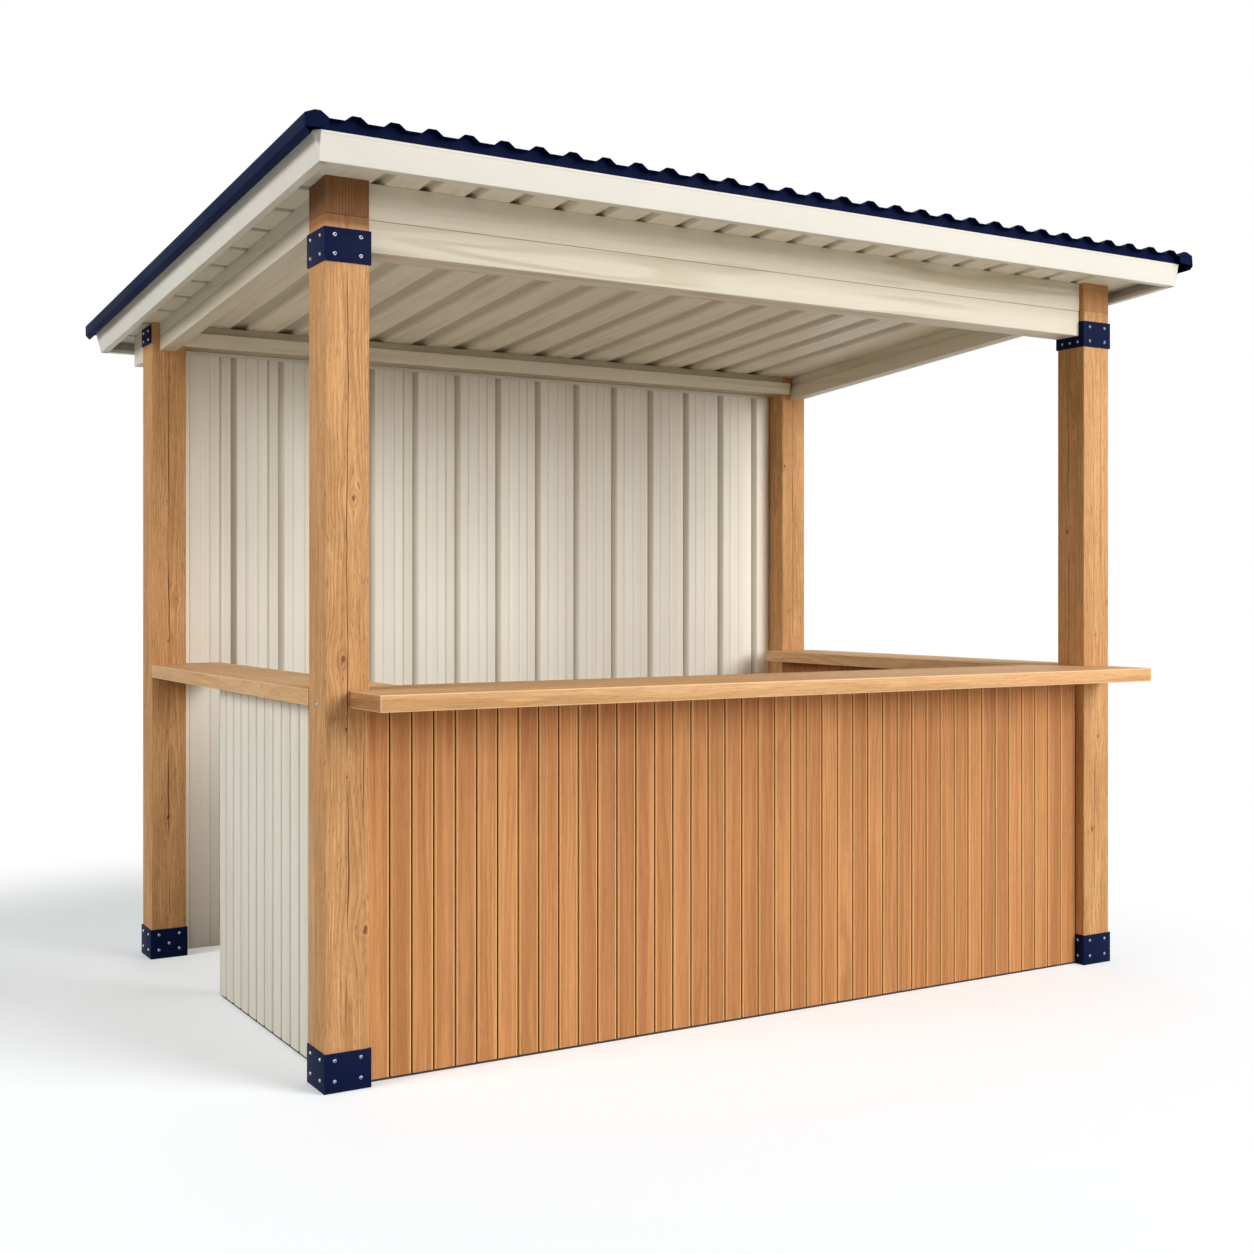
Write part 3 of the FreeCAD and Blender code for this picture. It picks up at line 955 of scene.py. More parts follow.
@dataclass
class Plan:
    """Setting-out sizes shared by the pieces, measured from the front left post's corner."""

    width: float = 3.050
    depth: float = 1.985
    pitch: float = math.radians(4.0)
    ceiling: float = 2.512
    front_overhang: float = 0.262
    back_overhang: float = 0.298
    side_overhang: float = 0.148

    def __post_init__(self) -> None:
        """Finds the corner in the frame."""
        self.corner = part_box("post_front_left")[0]

    def on_slope(self, x: float, y: float, up: float) -> Vector:
        """Place on the roof's slope, up from the ceiling plane.

        Args:
            x: distance to the right.
            y: distance down the slope to the back.
            up: distance square to the slope.

        Returns:
            The place in the frame.
        """
        lean, fall = math.cos(self.pitch), math.sin(self.pitch)
        return Vector((self.corner.x + x, self.corner.y + (y * lean + up * fall),
                       self.ceiling + up * lean - y * fall))

    def ceiling_at(self, y: float) -> float:
        """Height of the ceiling plane at a distance from the front."""
        return self.ceiling - y * math.tan(self.pitch)


PLAN = Plan()


# finishes in use


CREAM_SHEET = CoatedSteel("cream_coated_sheet", "cream_sheet", (230, 223, 207),
                          recess_shade_strength=0.6)
WALL_SHEET = CoatedSteel("cream_wall_sheet", "cream_sheet", (243, 237, 223), dust_strength=0.12,
                         recess_shade_tone=(172, 162, 136), recess_shade_strength=0.7, streaks=0.12,
                         streak_stretch=(60.0, 60.0, 0.4))
# The ceiling's copy of the cream sheet is lighter and yellower, painted light; its ribs carry
# painted shade.
CEILING_SHEET = CoatedSteel("cream_ceiling_sheet", "cream_sheet", (237, 229, 210),
                            recess_shade_strength=0.5, streaks=0.3, streak_stretch=(30.0, 0.6, 30.0))
# The fascias' copy of the cream sheet is darker, painted shade against their strong light.
FASCIA_SHEET = CoatedSteel("cream_fascia_sheet", "cream_sheet", (220, 215, 204),
                           dust_strength=0.15)
NAVY_SHEET = CoatedSteel("navy_coated_sheet", "navy_sheet", (3, 14, 48), (18, 28, 62), 0.10,
                         roughness=0.55, gloss=0.03)
NAVY_PLATE = CoatedSteel("navy_powder_coat", "navy_steel", (7, 19, 54), (24, 34, 68), 0.12,
                         (56, 68, 104), 0.5, roughness=0.55, gloss=0.06, grain_relief=0.00008)
# The left head block is a darker copy, painted shade under the roof's corner; the right one keeps
# a plain tone.
BLOCK_TIMBER_LIGHT = Timber("head_block_timber_light", "post_timber", light=(216, 160, 106),
                            middle=(194, 138, 86), dark=(150, 96, 52))
BLOCK_TIMBER = Timber("head_block_timber", "post_timber", light=(158, 108, 64),
                      middle=(134, 87, 48), dark=(98, 60, 30))
# Edge tones of the timbers below are painted highlights on eased edges.
BOARD_TIMBER = Timber("cladding_boards", "board_timber", light=(228, 166, 106),
                      middle=(204, 139, 82), dark=(148, 90, 46), heart=(52, 27, 11),
                      pith=(0.4, 0.9, 0.0), patch_stretch=(30.0, 0.6), ring_width=0.011,
                      ring_strength=0.4, ring_sway=0.05, wander=0.004, streak_strength=0.8,
                      fibre_strength=0.3, pore_strength=0.12, patch_strength=0.5,
                      board_tones=0.36, edge_highlight_tone=(242, 192, 130), edge_highlight=0.65,
                      relief=0.0002)
# Darker copy of the cladding timber for the linings inside: painted shade.
LINING_TIMBER_SHADED = replace(BOARD_TIMBER, name="lining_boards_painted_shade", light=(196, 136, 84),
                       middle=(174, 112, 64), dark=(140, 84, 46), heart=(60, 32, 14),
                       patch_stretch=(14.0, 3.4), ring_strength=0.45, streak_strength=0.7,
                       patch_strength=0.16, board_tones=0.4, edge_highlight_tone=(206, 150, 96),
                       edge_highlight=0.4)
RAW_TIMBER = Timber("sawn_softwood", "framing_timber", light=(224, 196, 150),
                    middle=(206, 172, 122), dark=(176, 136, 88), pore_strength=0.2,
                    edge_highlight=0.0)
COUNTER_ALONG_X = Timber("counter_boards_long", "counter_timber", Grain.ALONG_X,
                         (233, 187, 133), (216, 164, 110), (166, 113, 64),
                         pith=(0.0, 0.2, 0.9), ring_width=0.0075, ring_strength=0.4,
                         ring_sway=0.016, wander=0.006, fibre_strength=0.44, pore_strength=0.3,
                         patch_strength=0.12, edge_highlight_tone=(250, 216, 168), edge_highlight=0.55,
                         roughness=0.5, relief=0.0002)
COUNTER_ALONG_Y = replace(COUNTER_ALONG_X, name="counter_boards_deep", grain=Grain.ALONG_Y,
                          light=(228, 186, 136), middle=(212, 166, 114), dark=(176, 128, 80),
                          pith=(0.2, 0.0, 0.9), ring_strength=0.45, ring_sway=0.045,
                          fibre_strength=0.34, patch_strength=0.15,
                          edge_highlight_tone=(240, 206, 158), edge_highlight=0.5)
COUNTER_END = Timber("counter_board_ends", "counter_timber", Grain.ALONG_Y,
                     (202, 150, 98), (178, 126, 76), (128, 82, 44), pith=(0.0, 0.0, 0.9),
                     ring_width=0.0065, ring_strength=0.75, wander=0.004, pore_strength=0.3,
                     patch_strength=0.2, edge_highlight_tone=(236, 196, 144), edge_highlight=0.6)
SHELF_TIMBER = replace(COUNTER_ALONG_Y, name="shelf_boards", knots=(
    Knot(-1.525, -0.463, 1.085, 0.006), Knot(-1.525, -0.617, 1.072, 0.004)))
BEAM_ALONG_X = PaintedTimber("cream_beam_long", "cream_timber", paint_tone=(225, 216, 197),
                             grain_tone=(184, 164, 128), shows=0.5)
# The back top plate takes a darker copy of the beam paint, painted shade; the back rail a lighter
# one, painted light.
SHADED_PLATE = replace(BEAM_ALONG_X, name="cream_plate_back_painted_shade", paint_tone=(188, 178, 152))
BACK_RAIL_LIT = replace(BEAM_ALONG_X, name="cream_rail_back_painted_light", paint_tone=(232, 223, 203), shows=0.3)
BEAM_ALONG_Y = PaintedTimber("cream_beam_deep", "cream_timber", Grain.ALONG_Y, (222, 213, 194),
                             (190, 174, 142), shows=0.35)
PANEL_PAINT = PaintedTimber("off_white_slats", "white_panel", Grain.ALONG_Z, (232, 226, 211),
                            (204, 196, 178), (84, 78, 60), shows=0.3)
ZINC = ZincScrew("zinc_plate", "navy_steel")
# Dark strips of painted shade: in the gap at the walls' feet, in the shelf's joint and between the
# front beam and plate
FOOT_SHADE_STRIP = PaintedShadeStrip("painted_shade_at_foot", "framing_timber")
JOINT_SHADE = PaintedShadeStrip("joint_shade", "counter_timber", (72, 46, 24), (108, 74, 44))
SEAM_SHADE = PaintedShadeStrip("seam_painted_shade", "cream_timber", (104, 90, 66), (150, 134, 104))


# posts


@dataclass(frozen=True)
class Check:
    """A drying crack down a post's face; across is 0 to 1, the rest metres."""

    side: Side
    across: float
    bottom: float
    top: float
    width: float
    depth: float
    wander: float
    seed: float
    fade: ClassVar[float] = 0.12

    def at(self, height: float) -> tuple[float, float]:
        """Where the crack runs at a height.

        Args:
            height: height above the ground.

        Returns:
            The wander in metres, and the opening from 0 to 1.
        """
        sway = noise.noise(Vector((self.seed, 0.0, height * 2.3))) * self.wander
        sway += noise.noise(Vector((self.seed, 5.0, height * 11.0))) * self.wander * 0.35
        ends = min((height - self.bottom) / self.fade, (self.top - height) / self.fade, 1.0)
        breaks = 0.5 + 1.6 * noise.noise(Vector((self.seed, 9.0, height * 4.1)))
        return sway, max(0.0, ends) * min(1.0, max(0.0, breaks))


@dataclass
class Post:
    """A square post with rounded edges, faint waves, drying cracks and painted shade above a given
    height.
    """

    node: str
    finish: Finish
    checks: tuple[Check, ...] = ()
    stained_from: float = math.inf
    end_easing: float = 0.0015
    section: float = 0.130
    edge: float = 0.005
    row_height: float = 0.018
    waves: float = 0.0005
    wave_cells: Scale = (9.0, 9.0, 2.1)
    stain_fade: float = 0.012
    bends: tuple[float, ...] = (math.radians(45), math.radians(68))

    def build(self) -> None:
        """Sweeps the post's ring from its foot to its top."""
        self.low, self.high = low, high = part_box(self.node)
        back_top = PLAN.ceiling_at(low.y - PLAN.corner.y + self.section)
        self.sloped = high.z > back_top + 0.001
        rows = max(4, round((high.z - low.z) / self.row_height))
        heights = [low.z, low.z + self.end_easing]
        heights += [low.z + (high.z - low.z) * row / rows for row in range(1, rows)]
        heights += [high.z - self.end_easing, high.z]
        draft = MeshDraft()
        draft.loft([self.ring(draft, height) for height in heights])
        draft.piece(self.node + "_timber", self.finish, (self.node,), SMOOTH_BOARD)

    def ring(self, draft: MeshDraft, height: float) -> list[int]:
        """Adds one ring of points.

        Args:
            draft: the mesh to add to.
            height: height of the ring on the post's highest side.

        Returns:
            The ring's indices.
        """
        low, high, half = self.low, self.high, self.section / 2
        centre = Vector((low.x + half, low.y + half, 0.0))
        inset = self.end_easing if height in (low.z, high.z) else 0.0
        # painted shade on the post's top, for the shadow under the roof
        stain = min(1.0, max(0.0, (height - self.stained_from) / self.stain_fade))
        rise = (height - low.z) / (high.z - low.z)
        ring = []
        for side in Side:
            for across, sink, mark in self.stations(side, height):
                spread = max(-half + inset, min(half - inset, across - half))
                spot = centre + side.out * (half - inset - sink) + side.along * spread
                cell = zip((spot.x, spot.y, height), self.wave_cells)
                shade = noise.noise(Vector([part * scale for part, scale in cell]))
                spot -= side.out * self.waves * abs(shade)
                spot.z = height
                if self.sloped:
                    limit = PLAN.ceiling_at(spot.y - PLAN.corner.y)
                    spot.z = low.z + rise * (limit - low.z)
                ring.append(draft.add(spot, check=mark, stain=stain))
        return ring

    def stations(self, side: Side, height: float) -> list[tuple[float, float, float]]:
        """Points across one face, up to where the next face's points start.

        Args:
            side: the face.
            height: height of the ring.

        Returns:
            For each point the distance across, the depth below the face and the crack mark.
        """
        edge, section = self.edge, self.section
        bend = [(edge * (1 - math.cos(turn)), edge * (1 - math.sin(turn)), 0.0)
                for turn in self.bends]
        points = [*bend, (edge, 0.0, 0.0)]
        last = edge
        checks = (check for check in self.checks if check.side is side)
        for check in sorted(checks, key=lambda check: check.across):
            sway, opening = check.at(height)
            middle = check.across * section + sway
            half = check.width / 2 * (0.25 + 0.75 * opening)
            points += [((last + middle - half) / 2, 0.0, 0.0), (middle - half, 0.0, 0.0),
                       (middle, check.depth * opening, min(1.0, opening * 1.5)),
                       (middle + half, 0.0, 0.0)]
            last = middle + half
        return [*points, ((last + section - edge) / 2, 0.0, 0.0), (section - edge, 0.0, 0.0),
                (section - bend[1][0], bend[1][1], 0.0)]


@dataclass
class Posts:
    """The four posts and the two head blocks."""

    stained_from: float = 2.372
    block_easing: float = 0.0012
    knots: ClassVar[dict[str, tuple[Knot, ...]]] = {
        "front_left": (Knot(-1.4415, -1.011, 1.632, 0.010), Knot(-1.473, -1.011, 1.187, 0.011),
                       Knot(-1.408, -1.011, 0.437, 0.013), Knot(-1.495, -1.011, 1.025, 0.004),
                       Knot(-1.464, -1.011, 0.994, 0.005), Knot(-1.461, -1.011, 0.863, 0.005)),
        "front_right": (Knot(1.468, -1.011, 0.842, 0.008), Knot(1.455, -1.011, 1.215, 0.005),
                        Knot(1.437, -1.011, 0.50, 0.009), Knot(1.395, -0.930, 1.60, 0.007)),
        "back_left": (Knot(-1.467, 0.844, 1.714, 0.006), Knot(-1.433, 0.844, 1.349, 0.006),
                      Knot(-1.462, 0.844, 1.191, 0.005), Knot(-1.464, 0.844, 0.527, 0.009),
                      Knot(-1.525, 0.91, 1.1, 0.006)),
        "back_right": (Knot(1.408, 0.844, 1.965, 0.009), Knot(1.432, 0.844, 1.282, 0.005),
                       Knot(1.44, 0.844, 0.62, 0.008)),
    }
    checks: ClassVar[dict[str, tuple[Check, ...]]] = {
        "front_left": (Check(Side.FRONT, 0.50, 0.12, 2.30, 0.0034, 0.008, 0.007, 1.0),
                       Check(Side.FRONT, 0.86, 0.60, 1.00, 0.0018, 0.004, 0.004, 2.0),
                       Check(Side.LEFT, 0.46, 0.15, 2.25, 0.0026, 0.005, 0.004, 3.0),
                       Check(Side.RIGHT, 0.60, 0.5, 2.0, 0.0026, 0.005, 0.006, 4.0)),
        "front_right": (Check(Side.FRONT, 0.66, 1.20, 2.28, 0.0026, 0.006, 0.004, 5.0),
                        Check(Side.FRONT, 0.42, 0.15, 0.95, 0.0022, 0.005, 0.004, 6.0),
                        Check(Side.LEFT, 0.42, 0.20, 2.20, 0.0030, 0.007, 0.006, 7.0),
                        Check(Side.BACK, 0.5, 0.4, 1.9, 0.0028, 0.006, 0.006, 8.0)),
        "back_left": (Check(Side.FRONT, 0.50, 0.14, 2.36, 0.0036, 0.009, 0.006, 9.0),
                      Check(Side.LEFT, 0.44, 0.30, 2.10, 0.0024, 0.005, 0.004, 10.0),
                      Check(Side.BACK, 0.55, 0.5, 2.0, 0.0026, 0.006, 0.006, 11.0)),
        "back_right": (Check(Side.FRONT, 0.46, 1.15, 2.30, 0.0026, 0.006, 0.004, 12.0),
                       Check(Side.LEFT, 0.50, 0.20, 2.20, 0.0026, 0.006, 0.005, 13.0),
                       Check(Side.RIGHT, 0.52, 0.3, 2.1, 0.0026, 0.006, 0.005, 14.0)),
    }

    def build(self) -> None:
        """Makes the posts, each with its own knots and cracks, and the head blocks; the front left
        post's top gets painted shade.
        """
        for place, checks in self.checks.items():
            low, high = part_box(f"post_{place}")
            pith = (low.x * 0.45 + high.x * 0.55, low.y * 0.6 + high.y * 0.4, 0.0)
            finish = Timber(f"post_timber_{place}", "post_timber", knots=self.knots[place],
                            pith=pith)
            # only the front left post gets painted shade on its top
            stained_from = self.stained_from if place == "front_left" else math.inf
            Post(f"post_{place}", finish, checks, stained_from).build()
        for hand, finish in (("left", BLOCK_TIMBER), ("right", BLOCK_TIMBER_LIGHT)):
            Post(f"head_block_{hand}", finish, end_easing=self.block_easing).build()


# steel plates


@dataclass
class Fittings:
    """Shoes, head brackets and plates with their screws."""

    easing: float = 0.0014
    screw_edge: float = 0.031
    shoe_rows: tuple[float, ...] = (0.020, 0.077)
    bracket_rows: tuple[float, ...] = (0.020, 0.072)
    plate_margin: float = 0.018
    head_radius: float = 0.0045
    head_height: float = 0.0028
    washer_radius: float = 0.0053
    washer_height: float = 0.0010
    sunk: float = 0.0002
    shelf_screw: tuple[float, float] = (0.062, 1.062)

    def build(self) -> None:
        """Makes the plates, each with its screws, and the shelf's screw."""
        for place in ("front_left", "front_right", "back_left", "back_right"):
            node = f"shoe_{place}"
            low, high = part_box(node)
            spots = self.grid(node, Side, (-1, 1), [high.z - row for row in self.shoe_rows])
            if place == "back_left":
                spots += self.grid(node, (Side.FRONT,), (0,), ((low.z + high.z) / 2,))
            self.plate(node, spots)
        for hand, outer, inner in (("left", Side.LEFT, Side.RIGHT),
                                   ("right", Side.RIGHT, Side.LEFT)):
            node = f"head_bracket_front_{hand}"
            low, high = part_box(node)
            levels = [high.z - row for row in self.bracket_rows]
            self.plate(node, self.grid(node, (Side.FRONT, outer), (-1, 1), levels)
                       + self.grid(node, (inner, Side.BACK), (-1, 0, 1),
                                   (low.z + self.bracket_rows[0],)))
            node = f"head_plate_back_{hand}"
            self.plate(node, self.plate_screws(node, outer))
        low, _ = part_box("post_front_left")
        back, level = self.shelf_screw
        self.screws("shelf_screw", [(Vector((low.x, low.y + back, level)), Side.LEFT.out)])

    def plate(self, node: str, spots: list[Spot]) -> None:
        """Makes one plate and its screws."""
        eased_copy(node, node + "_steel", (NAVY_PLATE,), self.easing, 3)
        self.screws(node + "_screws", spots)

    def screws(self, name: str, spots: list[Spot]) -> None:
        """Makes a set of washer head screws with a six-sided recess.

        Args:
            name: the piece's name.
            spots: places and directions of the screws.
        """
        draw = random.Random(name)
        head, wide, tall, flat = (self.head_radius, self.washer_radius,
                                  self.head_height, self.washer_height)
        section = [(wide, 0.0, False), (wide, flat * 0.6, False), (wide * 0.94, flat, False),
                   (head, flat, False), (head * 0.97, flat + tall * 0.35, False),
                   (head * 0.84, flat + tall * 0.75, False), (head * 0.62, flat + tall, False),
                   (head * 0.60, flat + tall * 1.02, True),
                   (head * 0.56, flat + tall * 0.25, True)]
        draft = MeshDraft()
        for at, out in spots:
            draft.turned(section, (at - out * self.sunk, out), draw.uniform(0, math.pi),
                         deep_rings=1)
        draft.piece(name, ZINC, smooth=SMOOTH_SCREW)

    def grid(self, node: str, sides: Iterable[Side], columns: Sequence[int],
             levels: Sequence[float]) -> list[Spot]:
        """Screw places on the sides of a sleeve.

        Args:
            node: the frame's node.
            sides: its sides that have screws.
            columns: -1, 0 or 1 for screws near one edge, in the middle or near the other.
            levels: heights of the screws.

        Returns:
            Places and directions.
        """
        low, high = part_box(node)
        centre = (low + high) / 2
        half = (high.x - low.x) / 2
        spots = []
        for side in sides:
            for column in columns:
                at = centre + side.out * half + side.along * column * (half - self.screw_edge)
                spots += [(Vector((at.x, at.y, level)), side.out) for level in levels]
        return spots

    def plate_screws(self, node: str, side: Side) -> list[Spot]:
        """Screw places of a flat plate on a back post.

        Args:
            node: the frame's node.
            side: the way its screws face.

        Returns:
            Places and directions.
        """
        low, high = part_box(node)
        face = low.x if side is Side.LEFT else high.x
        return [(Vector((face, y, z)), side.out)
                for y in (low.y + self.screw_edge, high.y - self.screw_edge)
                for z in (low.z + self.plate_margin, high.z - self.plate_margin)]


# beams


@dataclass
class Beams:
    """Cream painted beams, plates and rails."""

    easing: float = 0.0025
    finishes: ClassVar[dict[str, Finish]] = {
        "front_beam": BEAM_ALONG_X, "front_top_plate": BEAM_ALONG_X,
        "back_top_plate": SHADED_PLATE, "back_rail": BACK_RAIL_LIT, "rear_beam": BEAM_ALONG_X,
        "side_beam_left": BEAM_ALONG_Y, "side_beam_right": BEAM_ALONG_Y,
        "side_plate_left": BEAM_ALONG_Y, "side_plate_right": BEAM_ALONG_Y,
    }
    seam: ClassVar[tuple[tuple[float, float], ...]] = (
        (0.0010, -0.0016), (0.0007, 0.0), (0.0010, 0.0016), (0.0060, 0.0016), (0.0060, -0.0016))

    def build(self) -> None:
        """Makes every beam with eased edges, and the dark strip of painted shade between the front
        two.
        """
        for node, finish in self.finishes.items():
            eased_copy(node, node + "_timber", (finish,), self.easing)
        low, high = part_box("front_beam")
        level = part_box("front_top_plate")[0].z
        draft = MeshDraft()
        draft.bar(self.seam, low.x, high.x,
                  lambda deep, x, up: Vector((x, low.y + deep, level + up)))
        draft.piece("front_beam_seam", SEAM_SHADE)


# walls


def face_length(node: str, side: Side) -> float:
    """Length of a wall skin along its face."""
    low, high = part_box(node)
    return abs((high - low).dot(side.along))


@dataclass
class BoardRow:
    """Upright boards side by side, each with a tongue behind the groove to the next.

    The profile is a board's edge: across and deep in easings, then the painted highlight on the
    eased edge and the painted shade in the groove.
    """

    name: str
    node: str
    finish: Finish
    side: Side
    joints: list[float]
    seed: int
    thickness: float = 0.018
    gap: float = 0.0040
    easing: float = 0.0042
    recess: float = 0.009
    foot: float = 0.007
    profile: ClassVar[tuple[tuple[float, float, float, float], ...]] = (
        (0.0, 1.4, 0.0, 0.7), (0.0, 1.0, 1.0, 0.0), (0.35, 0.35, 1.0, 0.0),
        (1.0, 0.0, 1.0, 0.0), (1.5, 0.0, 0.0, 0.0))

    def build(self) -> None:
        """Makes the row of boards from the outer face of the node."""
        low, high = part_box(self.node)
        length = face_length(self.node, self.side)
        half = abs((high - low).dot(self.side.out)) / 2
        self.start = (low + high) / 2 + self.side.out * half - self.side.along * length / 2
        self.top = high.z
        draw = random.Random(self.seed)
        draft = MeshDraft()
        for left, right in pairwise([0.0, *self.joints, length]):
            self.board(draft, left, right, right == length, draw.random())
        draft.piece(self.name, self.finish, (self.node,), SMOOTH_BOARD)

    def board(self, draft: MeshDraft, left: float, right: float, last: bool,
              shade: float) -> None:
        """Adds one board.

        Args:
            draft: the mesh to add to.
            left: where the board starts.
            right: where the next board starts.
            last: whether it has no tongue.
            shade: the board's own tone, 0 to 1.
        """
        left += self.gap / 2 if left > 0 else 0.0
        right -= 0.0 if last else self.gap / 2
        ease, back = self.easing, self.thickness
        # the back corners and the tongue carry painted shade for the groove between boards
        section = [(left, back, 0.0, 1.0)]
        section += [(left + ease * across, ease * deep, *marks)
                    for across, deep, *marks in self.profile]
        section += [(right - ease * across, ease * deep, *marks)
                    for across, deep, *marks in reversed(self.profile)]
        if last:
            section.append((right, back, 0.0, 1.0))
        else:
            reach = right + self.gap * 0.98
            section += [(right, self.recess, 0.0, 1.0), (reach, self.recess, 0.0, 1.0),
                        (reach, back, 0.0, 1.0)]
        rings = []
        for height in (self.foot, self.top):
            ring = []
            for across, depth, edge_wear_and_highlight, dark in section:
                spot = self.start + self.side.along * across - self.side.out * depth
                ring.append(draft.add(Vector((spot.x, spot.y, height)), board=shade,
                                      edge=edge_wear_and_highlight, check=dark))
            rings.append(ring)
        draft.loft(rings)


@dataclass
class Walls:
    """Cladding, linings, slatted panels, dark strips of painted shade at the wall feet and the
    jamb at the way in.
    """

    first_board: float = 0.0712
    wide_board: float = 0.0676
    narrow_board: float = 0.0648
    wide_boards: int = 15
    lining_pitch: float = 0.087
    slat_pitch: float = 0.0812
    first_slat: float = 0.1036
    last_slat: float = 0.015
    slat_thickness: float = 0.012
    jamb_easing: float = 0.002
    shade_strip_height: float = 0.009
    shade_strip_front: float = 0.003
    shade_strip_back: float = 0.010

    def build(self) -> None:
        """Makes the walls' skins, the jamb and the dark strips of painted shade at their feet."""
        self.front_boards()
        linings = {"front_lining": Side.BACK, "left_lining": Side.RIGHT,
                   "right_lining": Side.LEFT}
        for seed, (node, side) in enumerate(linings.items(), start=4):
            length = face_length(node, side)
            count = round(length / self.lining_pitch)
            joints = [length * index / count for index in range(1, count)]
            BoardRow(node + "_boards", node, LINING_TIMBER_SHADED, side, joints, seed).build()
        self.slats("left_panel", Side.LEFT)
        self.slats("right_panel", Side.RIGHT)
        eased_copy("left_wall_jamb", "left_wall_jamb_board", (PANEL_PAINT,), self.jamb_easing)
        for node, side in (("front_cladding", Side.FRONT), ("left_panel", Side.LEFT),
                           ("right_panel", Side.RIGHT)):
            self.add_foot_shade(node, side)

    def front_boards(self) -> None:
        """Makes the front cladding, wider boards at its left end."""
        length = face_length("front_cladding", Side.FRONT)
        joints = [self.first_board]
        while joints[-1] + self.narrow_board * 1.5 < length:
            wide = len(joints) <= self.wide_boards
            joints.append(joints[-1] + (self.wide_board if wide else self.narrow_board))
        BoardRow("front_cladding_boards", "front_cladding", BOARD_TIMBER, Side.FRONT, joints,
                 seed=3).build()

    def slats(self, node: str, side: Side) -> None:
        """Makes one outer panel of painted slats, spaced from the front post.

        Args:
            node: the frame's node.
            side: the way its slats face.
        """
        length = face_length(node, side)
        joints = []
        place = self.first_slat
        while place < length - self.last_slat:
            joints.append(place)
            place += self.slat_pitch
        if side is Side.LEFT:
            joints = [length - joint for joint in reversed(joints)]
        BoardRow(node + "_slats", node, PANEL_PAINT, side, joints, 9, self.slat_thickness,
                 gap=0.0105, recess=0.0075).build()

    def add_foot_shade(self, node: str, side: Side) -> None:
        """Adds the dark strip of painted shade under a wall's outer skin.

        Args:
            node: the skin's node.
            side: the way it faces.
        """
        low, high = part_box(node)
        start = Vector((high.x if side is Side.RIGHT else low.x, low.y, 0.0))
        along = Vector(abs(part) for part in side.along)
        section = [(self.shade_strip_front, 0.0), (self.shade_strip_front, self.shade_strip_height * 0.8),
                   (self.shade_strip_front + 0.0012, self.shade_strip_height),
                   (self.shade_strip_back, self.shade_strip_height), (self.shade_strip_back, 0.0)]
        draft = MeshDraft()
        draft.bar(section, 0.0, face_length(node, side),
                  lambda deep, run, up: (start + along * run - side.out * deep
                                         + Vector((0.0, 0.0, up))))
        draft.piece(node + "_foot_shade_strip", FOOT_SHADE_STRIP)


# counters


@dataclass
class Counters:
    """Counter boards with softened edges."""

    easing: float = 0.0030
    end_gap: float = 0.008
    end_zone: float = 0.02
    skin: float = 0.001
    long_boards: tuple[str, ...] = ("front_counter_outer", "front_counter_inner")
    deep_boards: ClassVar[dict[str, Finish]] = {
        "left_shelf": SHELF_TIMBER, "entrance_shelf": COUNTER_ALONG_Y,
        "right_counter": COUNTER_ALONG_Y}
    joint: ClassVar[tuple[tuple[float, float], ...]] = (
        (0.0008, -0.0016), (0.0004, 0.0), (0.0008, 0.0016), (0.0040, 0.0008),
        (0.0040, -0.0008))

    def build(self) -> None:
        """Makes the counter boards and the dark strip of painted shade in the shelf's open joint.
        """
        for node in self.long_boards:
            low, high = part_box(node)
            eased_copy(node, node + "_board", (COUNTER_ALONG_X, COUNTER_END), self.easing, 3,
                       lambda middle: int(not low.x + self.skin < middle.x
                                          < high.x - self.skin))
        for node, finish in self.deep_boards.items():
            board = eased_copy(node, node + "_board", (finish,), self.easing, 3)
            if node == "left_shelf":
                self.draw_back(board)
        low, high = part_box("left_shelf")
        draft = MeshDraft()
        draft.bar(self.joint, low.z + self.skin, high.z - self.skin,
                  lambda deep, z, side: Vector((low.x + deep, high.y + side, z)))
        draft.piece("shelf_joint_shade", JOINT_SHADE)

    def draw_back(self, board: bpy.types.Object) -> None:
        """Leaves a narrow gap between a board's front end and the post.

        Args:
            board: the board.
        """
        front = min(point.co.y for point in board.data.vertices)
        for point in board.data.vertices:
            if point.co.y < front + self.end_zone:
                point.co.y += self.end_gap


# back wall


